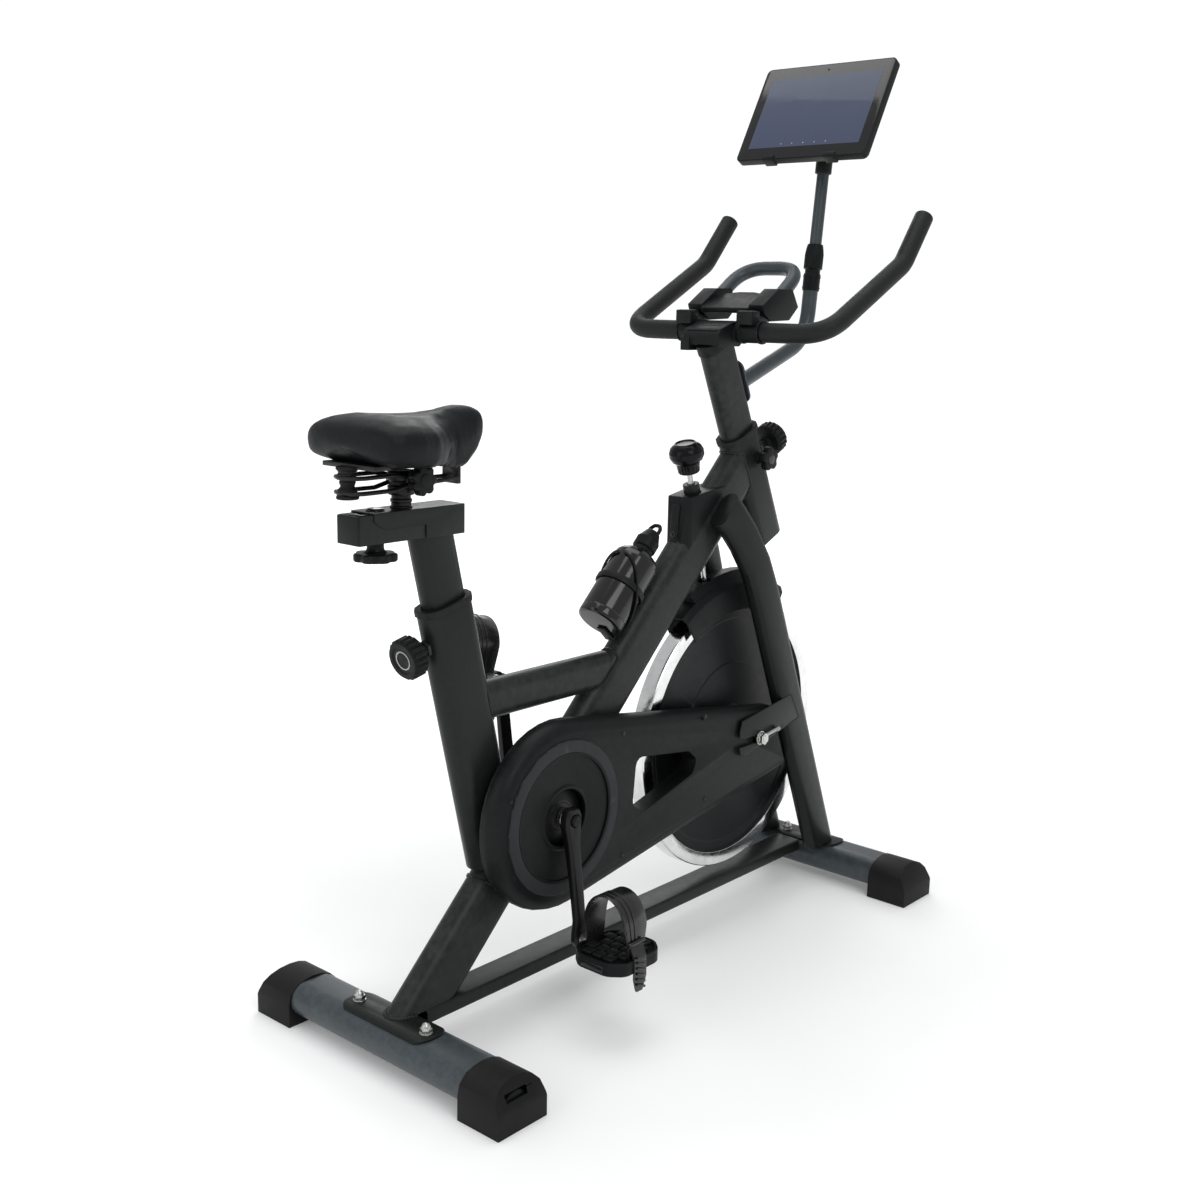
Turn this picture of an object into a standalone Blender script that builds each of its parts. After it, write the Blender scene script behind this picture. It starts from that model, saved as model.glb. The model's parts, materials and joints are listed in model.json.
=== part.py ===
"""An indoor spin bike with a belt drive, a friction brake, sliding posts and a tablet mast.

Frame: +X is forwards, +Y is the rider's left, +Z is up. The origin lies on the floor, under the
middle of the bike. The dimensions below are in millimetres, and MM turns them into metres.
"""

from math import asin, atan2, cos, degrees, hypot, pi, radians, sin

import bmesh
import bpy
from mathutils import Matrix, Vector

MM = 0.001
GAP = 0.3  # between pieces that touch
WALL = 2.0  # steel tube wall
ARC = 6  # segments round half an oval tube

# Stabilisers and floor
REAR_X = -484.3
FRONT_X = 515.5
STAB_LENGTH = 500.0
STAB_SECTION = (80.0, 50.0)
STAB_Z = 38.0
CAP_WIDTH = {"rear": 89.0, "front": 91.0}
CAP_LENGTH = 75.0
CAP_TOP = 67.0
ROLLER_R = 22.0
ROLLER_Z = 26.5
ROLLER_DEPTH = 17.0  # from the cap's outer face to the roller's middle plane
PLATE_HALF_LENGTH = 86.0
PLATE_THICK = 3.0
FOOT_Z = 66.8  # underside of the tubes that stand on the foot plates

# Frame tubes: (width along the bike, thickness across it)
MAIN_SECTION = (86.0, 44.0)
MAIN_RISE = 498.5  # height of the main tube's axis at x = 0; it slopes at 45 degrees
SEAT_SECTION = (86.0, 44.0)
SEAT_AXIS = (-387.7, 621.0)
SEAT_LEAN = -13.7
SEAT_TUBE_TOP = 4.0  # along the seat axis, from SEAT_AXIS
TOP_TUBE_SECTION = (57.0, 36.0)
TOP_TUBE_Z = 481.5
HEAD_SECTION = (80.0, 44.0)
HEAD_AXIS = (259.5, 833.0)
HEAD_LEAN = -24.8
HEAD_TOP = -16.0
HEAD_BOTTOM = -211.0
BEAM_WIDTH = 50.0
BEAM_Z = (45.0, 66.5)
LEG_SECTION = (67.0, 30.0)
POST_SECTION = (70.0, 34.0)

# Drive
CRANK_X, CRANK_Z = -215.5, 299.5
CRANK_THROW = 175.0
CRANK_HUB_Y = (74.0, 89.0)
CRANK_TIP_Y = (95.0, 106.0)
PEDAL_Y = 108.0  # where a pedal meets its crank arm
INBOARD = {1: 37.0, -1: 0.0}  # the left crank has no guard to clear, so it sits closer in
PEDAL_LEAN = {1: 12.0, -1: 0.0}
PEDAL_REACH = 64.0  # from the arm to the middle of the pedal
STRAP_HALF_WIDTH = 37.0
STRAP_THICK = 2.4
STRAP_X = (-26.0, 18.0)
WHEEL_X, WHEEL_Z = 261.2, 318.5
WHEEL_R = 235.5
RIM_INNER_R = 212.5
RIM_HALF_WIDTH = 15.0
BELT_Y = -52.0
BELT_WIDTH = 12.0
CRANK_PULLEY_R = 98.0
WHEEL_PULLEY_R = 32.0
GUARD_R = 141.5
GUARD_FACE_Y = -67.5
GUARD_OPEN_Y = -40.0

# Brake: its axis leans back and passes through BRAKE_AXIS
BRAKE_AXIS = (148.5, 735.0)
BRAKE_LEAN = -15.5

# Saddle
BOX_X = (-548.2, -374.5)
BOX_Z = (727.0, 764.4)
BOX_HALF_WIDTH = 21.0
SLIDER_X = -506.5
SADDLE_PIN_X = -463.0
SADDLE_PIVOT = (-457.0, 804.5)

# Handlebar
BAR_X, BAR_Z = 212.1, 989.0
BAR_R = 12.5
GRIP_R = 15.5
MAST_LEAN = 6.3
MAST_POINT = (461.1, 1048.0)

# Tablet
TABLET_CENTRE = (448.1, 1351.3)
TABLET_LEAN = 28.75
TABLET_SIZE = (254.0, 182.0, 14.5)
PIVOT = (472.0, 1309.0)

# Bottle
BOTTLE_FOOT = (-72.5, 555.0)
BOTTLE_R = 36.5

COLOURS = {
    "frame_paint": ((0.035, 0.040, 0.040), 0.45, 0.3),
    "blue_grey_paint": ((0.050, 0.062, 0.072), 0.40, 0.3),
    "black_paint": ((0.012, 0.012, 0.013), 0.35, 0.3),
    "black_plastic": ((0.012, 0.012, 0.013), 0.50, 0.0),
    "gloss_plastic": ((0.008, 0.008, 0.009), 0.15, 0.0),
    "rubber": ((0.010, 0.010, 0.010), 0.80, 0.0),
    "foam": ((0.018, 0.019, 0.018), 0.85, 0.0),
    "chrome": ((0.80, 0.80, 0.80), 0.12, 1.0),
    "steel": ((0.45, 0.45, 0.46), 0.30, 1.0),
    "vinyl": ((0.014, 0.015, 0.016), 0.45, 0.0),
}

PARTS = "spin_bike"
CUTTERS = "cutters"


# ---------------------------------------------------------------- scene and placing


def clear_scene():
    for obj in list(bpy.data.objects):
        bpy.data.objects.remove(obj, do_unlink=True)


def collection(name):
    found = bpy.data.collections.get(name)
    if found is None:
        found = bpy.data.collections.new(name)
        bpy.context.scene.collection.children.link(found)
    return found


def material(name):
    found = bpy.data.materials.get(name)
    if found is None:
        colour, roughness, metallic = COLOURS[name]
        found = bpy.data.materials.new(name)
        found.use_nodes = True
        shader = found.node_tree.nodes["Principled BSDF"]
        shader.inputs["Base Color"].default_value = (*colour, 1.0)
        shader.inputs["Roughness"].default_value = roughness
        shader.inputs["Metallic"].default_value = metallic
    return found


def at(x=0.0, y=0.0, z=0.0, lean=0.0):
    """A frame at a point in millimetres, its Z tipped forwards by lean degrees."""
    return Matrix.Translation(Vector((x, y, z)) * MM) @ Matrix.Rotation(radians(lean), 4, "Y")


def sideways(x, z, y=0.0, right=True):
    """A frame whose Z points to the rider's right (or left) and whose X points forwards."""
    turn = Matrix.Rotation(radians(90 if right else -90), 4, "X")
    return Matrix.Translation(Vector((x, y, z)) * MM) @ turn


def shift(x=0.0, y=0.0, z=0.0):
    """A move in millimetres, to follow a frame."""
    return Matrix.Translation(Vector((x, y, z)) * MM)


def spun(angle, axis="Z"):
    return Matrix.Rotation(radians(angle), 4, axis)


def add(name, mesh, place, slot):
    """Links a mesh as a named piece; slot None makes it a cutter."""
    obj = bpy.data.objects.new(name, mesh)
    obj.matrix_world = place
    if slot is None:
        obj.hide_render = True
        obj.display_type = "WIRE"
        collection(CUTTERS).objects.link(obj)
        return obj
    mesh.materials.clear()
    mesh.materials.append(material(slot))
    collection(PARTS).objects.link(obj)
    return obj


def smooth(mesh):
    mesh.shade_smooth()
    mesh.set_sharp_from_angle(angle=radians(35))


# ---------------------------------------------------------------- shapes


def box(name, size, place, slot=None):
    """A block centred on its frame, size in millimetres."""
    bm = bmesh.new()
    bmesh.ops.create_cube(bm, size=1.0)
    bmesh.ops.scale(bm, vec=Vector(size) * MM, verts=bm.verts)
    mesh = bpy.data.meshes.new(name)
    bm.to_mesh(mesh)
    bm.free()
    return add(name, mesh, place, slot)


def rod(name, radius, low, high, place, slot=None, sides=20):
    """A cylinder along its frame's Z, from low to high."""
    bm = bmesh.new()
    bmesh.ops.create_cone(
        bm,
        cap_ends=True,
        segments=sides,
        radius1=radius * MM,
        radius2=radius * MM,
        depth=(high - low) * MM,
        matrix=shift(0, 0, (low + high) / 2),
    )
    mesh = bpy.data.meshes.new(name)
    bm.to_mesh(mesh)
    bm.free()
    smooth(mesh)
    return add(name, mesh, place, slot)


def turned(name, profile, place, slot=None, steps=24, ring=False):
    """A solid of revolution about its frame's Z; profile is (radius, height), top to bottom."""
    count = len(profile)
    edges = [(i, i + 1) for i in range(count - 1)]
    if ring:
        edges.append((count - 1, 0))
    mesh = bpy.data.meshes.new(name)
    mesh.from_pydata([(r * MM, 0, z * MM) for r, z in profile], edges, [])
    obj = add(name, mesh, place, slot)
    screw = obj.modifiers.new("turn", "SCREW")
    screw.steps = steps
    screw.render_steps = steps
    screw.use_merge_vertices = True
    screw.merge_threshold = 0.00001
    screw.use_smooth_shade = True
    return obj


def baked(obj):
    """Turns a curve, or a mesh with modifiers, into a plain welded mesh object."""
    bpy.context.view_layer.update()
    graph = bpy.context.evaluated_depsgraph_get()
    mesh = bpy.data.meshes.new_from_object(obj.evaluated_get(graph))
    bm = bmesh.new()
    bm.from_mesh(mesh)
    bmesh.ops.remove_doubles(bm, verts=bm.verts, dist=0.000002)
    bmesh.ops.recalc_face_normals(bm, faces=bm.faces)
    bm.to_mesh(mesh)
    bm.free()
    name, place, home = obj.name, obj.matrix_world.copy(), obj.users_collection[0]
    slot = obj.data.materials[0] if obj.data.materials else None
    bpy.data.objects.remove(obj, do_unlink=True)
    smooth(mesh)
    mesh.materials.clear()
    if slot:
        mesh.materials.append(slot)
    made = bpy.data.objects.new(name, mesh)
    made.matrix_world = place
    home.objects.link(made)
    if home.name == CUTTERS:
        made.hide_render = True
        made.display_type = "WIRE"
    return made


def plate(name, outlines, low, high, place, slot=None):
    """Flat outlines (the first outer, the rest holes) in the frame's XY, from low to high in Z."""
    curve = bpy.data.curves.new(name, "CURVE")
    curve.dimensions = "2D"
    curve.fill_mode = "BOTH"
    curve.extrude = (high - low) / 2 * MM
    for outline in outlines:
        spline = curve.splines.new("POLY")
        spline.points.add(len(outline) - 1)
        for point, (x, y) in zip(spline.points, outline):
            point.co = (x * MM, y * MM, 0, 1)
        spline.use_cyclic_u = True
    obj = add(name, curve, place @ shift(0, 0, (low + high) / 2), slot)
    return baked(obj)


def tube(name, points, radius, place=None, slot=None, sides=3, bore=0.0):
    """A round tube through 3-D points; with a bore it is open at both ends."""
    curve = bpy.data.curves.new(name, "CURVE")
    curve.dimensions = "3D"
    curve.bevel_depth = radius * MM
    curve.bevel_resolution = sides
    curve.use_fill_caps = not bore
    spline = curve.splines.new("POLY")
    spline.points.add(len(points) - 1)
    for point, co in zip(spline.points, points):
        point.co = (*(Vector(co) * MM), 1)
    made = baked(add(name, curve, place or Matrix(), slot))
    if bore:
        shell = made.modifiers.new("wall", "SOLIDIFY")
        shell.thickness = (radius - bore) * MM
        shell.offset = -1
        shell.use_even_offset = True
        return baked(made)
    return made


def loft(name, rings, place=None, slot=None):
    """Skins rings of equal count and caps the two ends."""
    bm = bmesh.new()
    rows = [[bm.verts.new(Vector(p) * MM) for p in ring] for ring in rings]
    size = len(rows[0])
    bm.faces.new(rows[0][::-1])
    bm.faces.new(rows[-1])
    for low, high in zip(rows, rows[1:]):
        for i in range(size):
            j = (i + 1) % size
            bm.faces.new((low[i], low[j], high[j], high[i]))
    bmesh.ops.recalc_face_normals(bm, faces=bm.faces)
    mesh = bpy.data.meshes.new(name)
    bm.to_mesh(mesh)
    bm.free()
    smooth(mesh)
    return add(name, mesh, place or Matrix(), slot)


def combine(obj, other, operation):
    made = obj.modifiers.new(operation.lower(), "BOOLEAN")
    made.operation = operation
    made.object = other


def cut(obj, *cutters):
    for cutter in cutters:
        combine(obj, cutter, "DIFFERENCE")
    return obj


def join(obj, *others):
    for other in others:
        combine(obj, other, "UNION")
    return obj


# ---------------------------------------------------------------- outlines


def arc(cx, cy, radius, start, end, steps):
    """Points on an arc, angles in degrees, both ends included."""
    angles = [radians(start + (end - start) * i / steps) for i in range(steps + 1)]
    return [(cx + radius * cos(a), cy + radius * sin(a)) for a in angles]


def oval(width, depth, grow=0.0, steps=ARC):
    """A flat oval: two half circles joined by straight sides, long side along X."""
    radius = depth / 2
    reach = width / 2 - radius
    right = arc(reach, 0, radius + grow, -90, 90, steps)
    left = arc(-reach, 0, radius + grow, 90, 270, steps)
    return right + left


def circle(radius, steps=32, cx=0.0, cy=0.0):
    return arc(cx, cy, radius, 0, 360, steps)[:-1]


def lobed(radius, depth, lobes, steps):
    """A knob's rim: a circle with as many hollows as lobes."""
    points = []
    for i in range(lobes * steps):
        a = 2 * pi * i / (lobes * steps)
        r = radius - depth * (0.5 - 0.5 * cos(lobes * a)) ** 2
        points.append((r * cos(a), r * sin(a)))
    return points


def filleted(points, radius, steps=4, cyclic=True):
    """The polyline with each corner rounded. Works in 2-D and 3-D; radius may be a list."""
    count = len(points)
    made = []
    for i, point in enumerate(points):
        corner = Vector(point)
        size = radius[i] if isinstance(radius, (list, tuple)) else radius
        if (not cyclic and i in (0, count - 1)) or not size:
            made.append(tuple(corner))
            continue
        back = (Vector(points[i - 1]) - corner).normalized()
        ahead = (Vector(points[(i + 1) % count]) - corner).normalized()
        half = back.angle(ahead) / 2
        middle = (back + ahead).normalized()
        centre = corner + middle * (size / sin(half))
        sweep = pi / 2 - half
        across = (ahead - back).normalized()
        for k in range(steps + 1):
            a = sweep * (2 * k / steps - 1)
            made.append(tuple(centre - middle * size * cos(a) + across * size * sin(a)))
    return made


def hollow_oval(name, section, low, high, place, slot, grow=0.0, wall=WALL):
    outer = oval(*section, grow)
    inner = oval(*section, grow - wall)
    return plate(name, [outer, inner], low, high, place, slot)


# ---------------------------------------------------------------- frames of the main pieces

MAIN = at(0, 0, MAIN_RISE, 45)
SEAT = at(SEAT_AXIS[0], 0, SEAT_AXIS[1], SEAT_LEAN)
HEAD = at(HEAD_AXIS[0], 0, HEAD_AXIS[1], HEAD_LEAN)
BRAKE = at(BRAKE_AXIS[0], 0, BRAKE_AXIS[1], BRAKE_LEAN)
MAST = at(MAST_POINT[0], 0, MAST_POINT[1], MAST_LEAN)
TABLET = at(TABLET_CENTRE[0], 0, TABLET_CENTRE[1], TABLET_LEAN)
BOTTLE = at(BOTTLE_FOOT[0], 0, BOTTLE_FOOT[1], 45)


def flatten_end(obj, height, top=False):
    """Slides the vertices of a prism's end along its own axis onto a level plane."""
    mesh = obj.data
    place = obj.matrix_world
    axis = place.to_3x3() @ Vector((0, 0, 1))
    heights = [v.co.z for v in mesh.vertices]
    end = max(heights) if top else min(heights)
    for vertex in mesh.vertices:
        if abs(vertex.co.z - end) < 0.0001:
            here = place @ vertex.co
            vertex.co.z += (height * MM - here.z) / axis.z


def solid_main():
    return plate("main_cutter", [oval(*MAIN_SECTION, GAP)], -700, 420, MAIN)


def solid_seat():
    return plate("seat_cutter", [oval(*SEAT_SECTION, GAP)], -420, SEAT_TUBE_TOP, SEAT)


def solid_head():
    return plate("head_cutter", [oval(*HEAD_SECTION, GAP)], HEAD_BOTTOM, HEAD_TOP, HEAD)


# ---------------------------------------------------------------- floor pieces


def stabiliser(end, x):
    half = STAB_LENGTH / 2 - 30
    hollow_oval(f"{end}_stabiliser", STAB_SECTION, -half, half, sideways(x, STAB_Z), "blue_grey_paint")


def cap(end, x, side):
    """An end cap: an arch with a sloping end, a socket for the tube, and a roller pocket at the rear."""
    width = CAP_WIDTH[end] / 2
    name = f"{end}_cap_{'left' if side > 0 else 'right'}"
    place = sideways(x, 0, side * STAB_LENGTH / 2, right=side < 0)
    up = 1 if side < 0 else -1
    wall_top = 34.0
    rise = CAP_TOP - wall_top
    arch = [(-width, 0), (width, 0)]
    for i in range(9):
        a = radians(180 * i / 8)
        arch.append((width * cos(a), wall_top + rise * sin(a) ** 0.8))
    arch = [(px, up * pz) for px, pz in arch]
    obj = plate(name, [arch], -CAP_LENGTH, 0, place, "rubber")
    lean = place @ shift(0, up * 29) @ spun(-up * 26, "X")
    slope = box(f"{name}_slope", (200, 160, 80), lean @ shift(0, 0, 40))
    level = place @ shift(0, up * STAB_Z)
    socket = plate(f"{name}_socket", [oval(*STAB_SECTION, GAP)], -CAP_LENGTH - 10, -29.5, level)
    cut(obj, slope, socket)
    if end == "rear":
        pocket = place @ shift(0, up * 22, -ROLLER_DEPTH)
        window = place @ shift(-4, up * 46)
        cut(obj, box(f"{name}_pocket", (50, 55, 14.4), pocket))
        cut(obj, box(f"{name}_window", (38, 11, 36), window))
        join(obj, rod(f"{name}_axle", 4, -27, -7, place @ shift(0, up * ROLLER_Z), sides=12))
    return obj


def transport_wheel(side):
    name = f"transport_wheel_{'left' if side > 0 else 'right'}"
    place = sideways(REAR_X, ROLLER_Z, side * (STAB_LENGTH / 2 - ROLLER_DEPTH), right=side < 0)
    rim = ROLLER_R
    profile = [(8, 6.5), (9, 5), (rim - 3, 5), (rim, 3.5), (rim, -3.5), (rim - 3, -5), (9, -5), (8, -6.5)]
    turned(name, profile + [(4.4, -6.5), (4.4, 6.5)], place, "black_plastic", steps=20, ring=True)


def dome_nut(name, x, y, z):
    """A washer, a hexagon nut and its dome on a stud."""
    profile = [
        (0, 15), (3.5, 13.5), (5, 10), (5, 7.5), (6.6, 7.4),
        (6.6, 1.6), (8.5, 1.5), (8.5, -1), (0, -1),
    ]
    return turned(name, profile, at(x, y, z), steps=8)


def foot_plate(end, x, nut_x, nut_y):
    """A plate bent over the top of the stabiliser, with its two studs and dome nuts."""
    radius = STAB_SECTION[1] / 2
    reach = STAB_SECTION[0] / 2 - radius
    inner = radius + GAP
    outer = inner + PLATE_THICK
    bend = 28
    high = arc(reach, 0, outer, 90 - bend, 90, 4) + arc(-reach, 0, outer, 90, 90 + bend, 4)
    low = arc(-reach, 0, inner, 90 + bend, 90, 4) + arc(reach, 0, inner, 90, 90 - bend, 4)
    half = PLATE_HALF_LENGTH
    obj = plate(f"{end}_foot_plate", [high + low], -half, half, sideways(x, STAB_Z), "frame_paint")
    corners = [(-29, -half), (29, -half), (29, half), (-29, half)]
    trim = plate(f"{end}_plate_trim", [filleted(corners, 22)], 0, 120, at(x, 0, 0))
    combine(obj, trim, "INTERSECT")
    top = STAB_Z + outer
    join(obj, *[dome_nut(f"{end}_nut_{i}", nut_x, y, top) for i, y in enumerate((-nut_y, nut_y))])


# ---------------------------------------------------------------- frame


def main_tube(shell_bore, head, brake_bore):
    obj = hollow_oval("main_tube", MAIN_SECTION, -640, 400, MAIN, "frame_paint")
    flatten_end(obj, FOOT_Z)
    cut(obj, shell_bore, head, brake_bore)


def seat_tube(main):
    obj = hollow_oval("seat_tube", SEAT_SECTION, -430, SEAT_TUBE_TOP, SEAT, "frame_paint")
    pin = rod("seat_pin_bore", 8.4, 20, 70, seat_pin_frame())
    cut(obj, main, pin)


def top_tube(main, seat):
    place = at(0, 0, TOP_TUBE_Z, 90)
    obj = hollow_oval("top_tube", TOP_TUBE_SECTION, -345, -40, place, "frame_paint")
    cut(obj, main, seat)


def head_tube():
    obj = hollow_oval("head_tube", HEAD_SECTION, HEAD_BOTTOM, HEAD_TOP, HEAD, "frame_paint")
    front = rod("post_pin_bore", 8.4, 20, 60, post_pin_frame())
    side = rod("clamp_bore", 5.4, 10, 40, clamp_frame())
    cut(obj, front, side)


def bottom_beam():
    low, high = BEAM_Z
    start = REAR_X + STAB_SECTION[0] / 2 + 1.0
    end = FRONT_X - STAB_SECTION[0] / 2 - 1.0
    half = BEAM_WIDTH / 2
    height = (high - low) / 2
    corners = [(-height, -half), (height, -half), (height, half), (-height, half)]
    inner = [(-height + WALL, -half + WALL), (height - WALL, -half + WALL)]
    inner += [(height - WALL, half - WALL), (-height + WALL, half - WALL)]
    place = at(0, 0, (low + high) / 2, 90)
    plate("bottom_beam", [filleted(corners, 4, 3), filleted(inner, 2, 3)], start, end, place, "frame_paint")


def leg_path():
    """Centre line of a fork leg, as (x, distance from the middle plane, z), from the foot up."""
    return [
        (485, 58, 67), (365, 58, 350), (328, 58, 438), (303, 57.5, 500), (279, 56, 560),
        (257, 52, 612), (231, 45.5, 657), (206, 40, 690), (186, 38, 708),
    ]


def leg_rings(side, grow, path):
    """Oval sections square to the leg's centre line."""
    rings = []
    centres = [Vector((x, side * y, z)) for x, y, z in path]
    for i, centre in enumerate(centres):
        along = centres[min(i + 1, len(path) - 1)] - centres[max(i - 1, 0)]
        flat = Vector((along.x, 0, along.z)).normalized()
        across = Vector((flat.z, 0, -flat.x))
        ring = []
        for u, v in oval(*LEG_SECTION, grow):
            point = centre + across * u + Vector((0, v, 0))
            if i == 0:
                point += flat * ((FOOT_Z - point.z) / flat.z)
            ring.append(point)
        rings.append(ring)
    return rings


def fork_leg(side):
    """A hollow leg, closed at the top, with the slotted plate that holds the wheel's axle."""
    name = f"fork_leg_{'left' if side > 0 else 'right'}"
    path = leg_path()
    outer = leg_rings(side, 0, path)
    inner = leg_rings(side, -WALL, path[:-1])
    obj = loft(name, inner[::-1] + outer, None, "frame_paint")
    low, high = sorted((-side * 70.6, -side * 73.4))
    outline = [(210.5, 357), (205, 340), (205, 328), (222, 325), (WHEEL_X, 325)]
    outline += arc(WHEEL_X, WHEEL_Z, 6.5, 90, -90, 6)
    outline += [(205, 312), (208, 300), (222, 294), (378, 331), (350, 377)]
    join(obj, plate(f"{name}_dropout", [outline], low, high, sideways(0, 0)))


# ---------------------------------------------------------------- drive


def crank_shell():
    profile = [(24, 34), (24, -34), (19, -34), (19, 34)]
    turned("crank_shell", profile, sideways(CRANK_X, CRANK_Z), "frame_paint", ring=True)


def crank_spindle():
    place = sideways(CRANK_X, CRANK_Z)
    left = INBOARD[1] - 87
    profile = [(0, 87), (10, 87), (10, 33), (18.4, 32.5), (18.4, -32.5), (10, -33), (10, left), (0, left)]
    turned("crank_spindle", profile, place, "steel", steps=16)


def pulley(name, radius, bore, x, z, web, steps):
    """A flanged belt pulley; web is the radius where its rim starts."""
    half = BELT_WIDTH / 2
    profile = [(bore + 14, half + 2), (bore + 14, 3)] if web else []
    if web:
        profile += [(web, 3), (web, half), (radius, half), (radius, -half), (web, -half), (web, -3)]
        profile += [(bore + 14, -3), (bore + 14, -half - 2)]
    else:
        profile = [(radius, half), (radius, -half)]
    top = half + 2 if web else half
    profile += [(bore, -top), (bore, top)]
    turned(name, profile, sideways(x, z, BELT_Y), "steel", steps=steps, ring=True)


def drive_belt():
    """A flat belt round both pulleys, from arcs and their common tangents."""
    apart = hypot(WHEEL_X - CRANK_X, WHEEL_Z - CRANK_Z)
    slope = degrees(atan2(WHEEL_Z - CRANK_Z, WHEEL_X - CRANK_X))
    half = BELT_WIDTH / 2 - 1

    def loop(grow):
        spread = degrees(asin((CRANK_PULLEY_R - WHEEL_PULLEY_R) / apart))
        large = arc(CRANK_X, CRANK_Z, CRANK_PULLEY_R + grow, slope + 90 - spread, slope + 270 + spread, 22)
        small = arc(WHEEL_X, WHEEL_Z, WHEEL_PULLEY_R + grow, slope - 90 + spread, slope + 90 - spread, 10)
        return large + small

    plate("drive_belt", [loop(4.0), loop(0.5)], -half, half, sideways(0, 0, BELT_Y), "rubber")


def guard_outline(inset):
    """The belt guard's outline: a disc round the crank drawn out to the fork leg."""
    radius = GUARD_R - inset
    top, bottom = -8.8, 8.9
    large = arc(CRANK_X, CRANK_Z, radius, 90 + top, 270 + bottom, 21)
    start = Vector(large[0])
    finish = Vector(large[-1])
    front_top = 317.0 - inset
    front_bottom = 362.0 - inset
    high = start.y + (front_top - start.x) * sin(radians(top)) / cos(radians(top))
    low = finish.y + (front_bottom - finish.x) * sin(radians(bottom)) / cos(radians(bottom))
    return large + [(front_bottom, low), (front_top, high)]


def guard_window(inset):
    corners = [(-55, 354), (75, 335), (97, 316), (86, 295), (-35, 262), (-62, 279)]
    middle = Vector((10, 308))
    moved = []
    for corner in corners:
        away = Vector(corner) - middle
        moved.append(tuple(middle + away * (1 - inset / away.length)))
    return filleted(moved, [14, 12, 10, 12, 12, 14], 3)


def guard_outer():
    """The moulded cover: a stepped, rounded face, a raised ring, a hub opening and a window."""
    face = -GUARD_FACE_Y
    open_side = -GUARD_OPEN_Y
    place = sideways(0, 0, 0)
    levels = [(0, open_side), (0, 50), (4, 60), (10, 65.5), (19, face)]
    outer = [[(x, z, y) for x, z in guard_outline(inset)] for inset, y in levels]
    hollow = [[(x, z, y) for x, z in guard_outline(inset + 2.4)] for inset, y in levels[:3]]
    inside = [(x, z, face - 2.4) for x, z in guard_outline(16)]
    obj = loft("belt_guard_outer", [inside] + hollow[::-1] + outer, place, "black_plastic")
    crank = sideways(CRANK_X, CRANK_Z)
    raised = turned(
        "guard_ring", [(97, 70.2), (115, 70.2), (117, 66), (95, 66)],
        crank, steps=36, ring=True,
    )
    lip = plate("guard_lip", [guard_window(-3), guard_window(0)], open_side + 0.2, face - 0.1, place)
    join(obj, raised, lip)
    hub = rod("guard_hub_opening", 43, 50, 80, crank, sides=32)
    axle = rod("guard_axle_opening", 12, 50, 80, sideways(WHEEL_X, WHEEL_Z))
    window = plate("guard_window_opening", [guard_window(0.01)], 60, 80, place)
    cut(obj, hub, axle, window)


def guard_inner():
    outline = [guard_outline(0), guard_window(-3), circle(24.8, 24, CRANK_X, CRANK_Z)]
    outline.append(circle(33, 24, WHEEL_X, WHEEL_Z))
    plate("belt_guard_inner", outline, 36.6, -GUARD_OPEN_Y - GAP, sideways(0, 0), "black_plastic")


def crank_arm(side):
    """A crank arm: a hub on the spindle, a tapering bar and an eye for the pedal."""
    name = f"crank_arm_{'left' if side > 0 else 'right'}"
    place = sideways(CRANK_X, CRANK_Z, 0, right=side < 0)
    tip = CRANK_THROW
    hub_in, hub_out = [y - INBOARD[side] for y in CRANK_HUB_Y]
    tip_in, tip_out = [y - INBOARD[side] for y in CRANK_TIP_Y]
    rings = []
    stations = [(-17, 7, 0), (-15, 12, 0), (-6, 16, 0), (10, 16, 0), (35, 12, 0.15), (90, 10.5, 0.6)]
    stations += [(148, 10.5, 1), (166, 13, 1), (179, 13, 1), (187, 8, 1)]
    for along, half, blend in stations:
        inner = hub_in + (tip_in - hub_in) * blend
        outer = hub_out + (tip_out - hub_out) * blend
        chamfer = 4
        section = [(-half, inner), (half, inner), (half, outer - chamfer)]
        section += [(half - chamfer, outer), (-half + chamfer, outer), (-half, outer - chamfer)]
        rings.append([(u, -along, v) for u, v in section])
    obj = loft(name, rings, place, "black_paint")
    bores = [
        rod(f"{name}_spindle_bore", 10.3, hub_in - 10, hub_out + 10, place),
        rod(f"{name}_pedal_bore", 6.3, tip_in - 10, tip_out + 10, place @ shift(0, -tip)),
    ]
    cut(obj, *bores)


def pedal_frame(side):
    """The frame of a pedal's axle where it meets the arm; the left pedal rests tipped forwards."""
    y = side * (PEDAL_Y - INBOARD[side])
    return at(CRANK_X, y, CRANK_Z + side * CRANK_THROW, PEDAL_LEAN[side])


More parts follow.
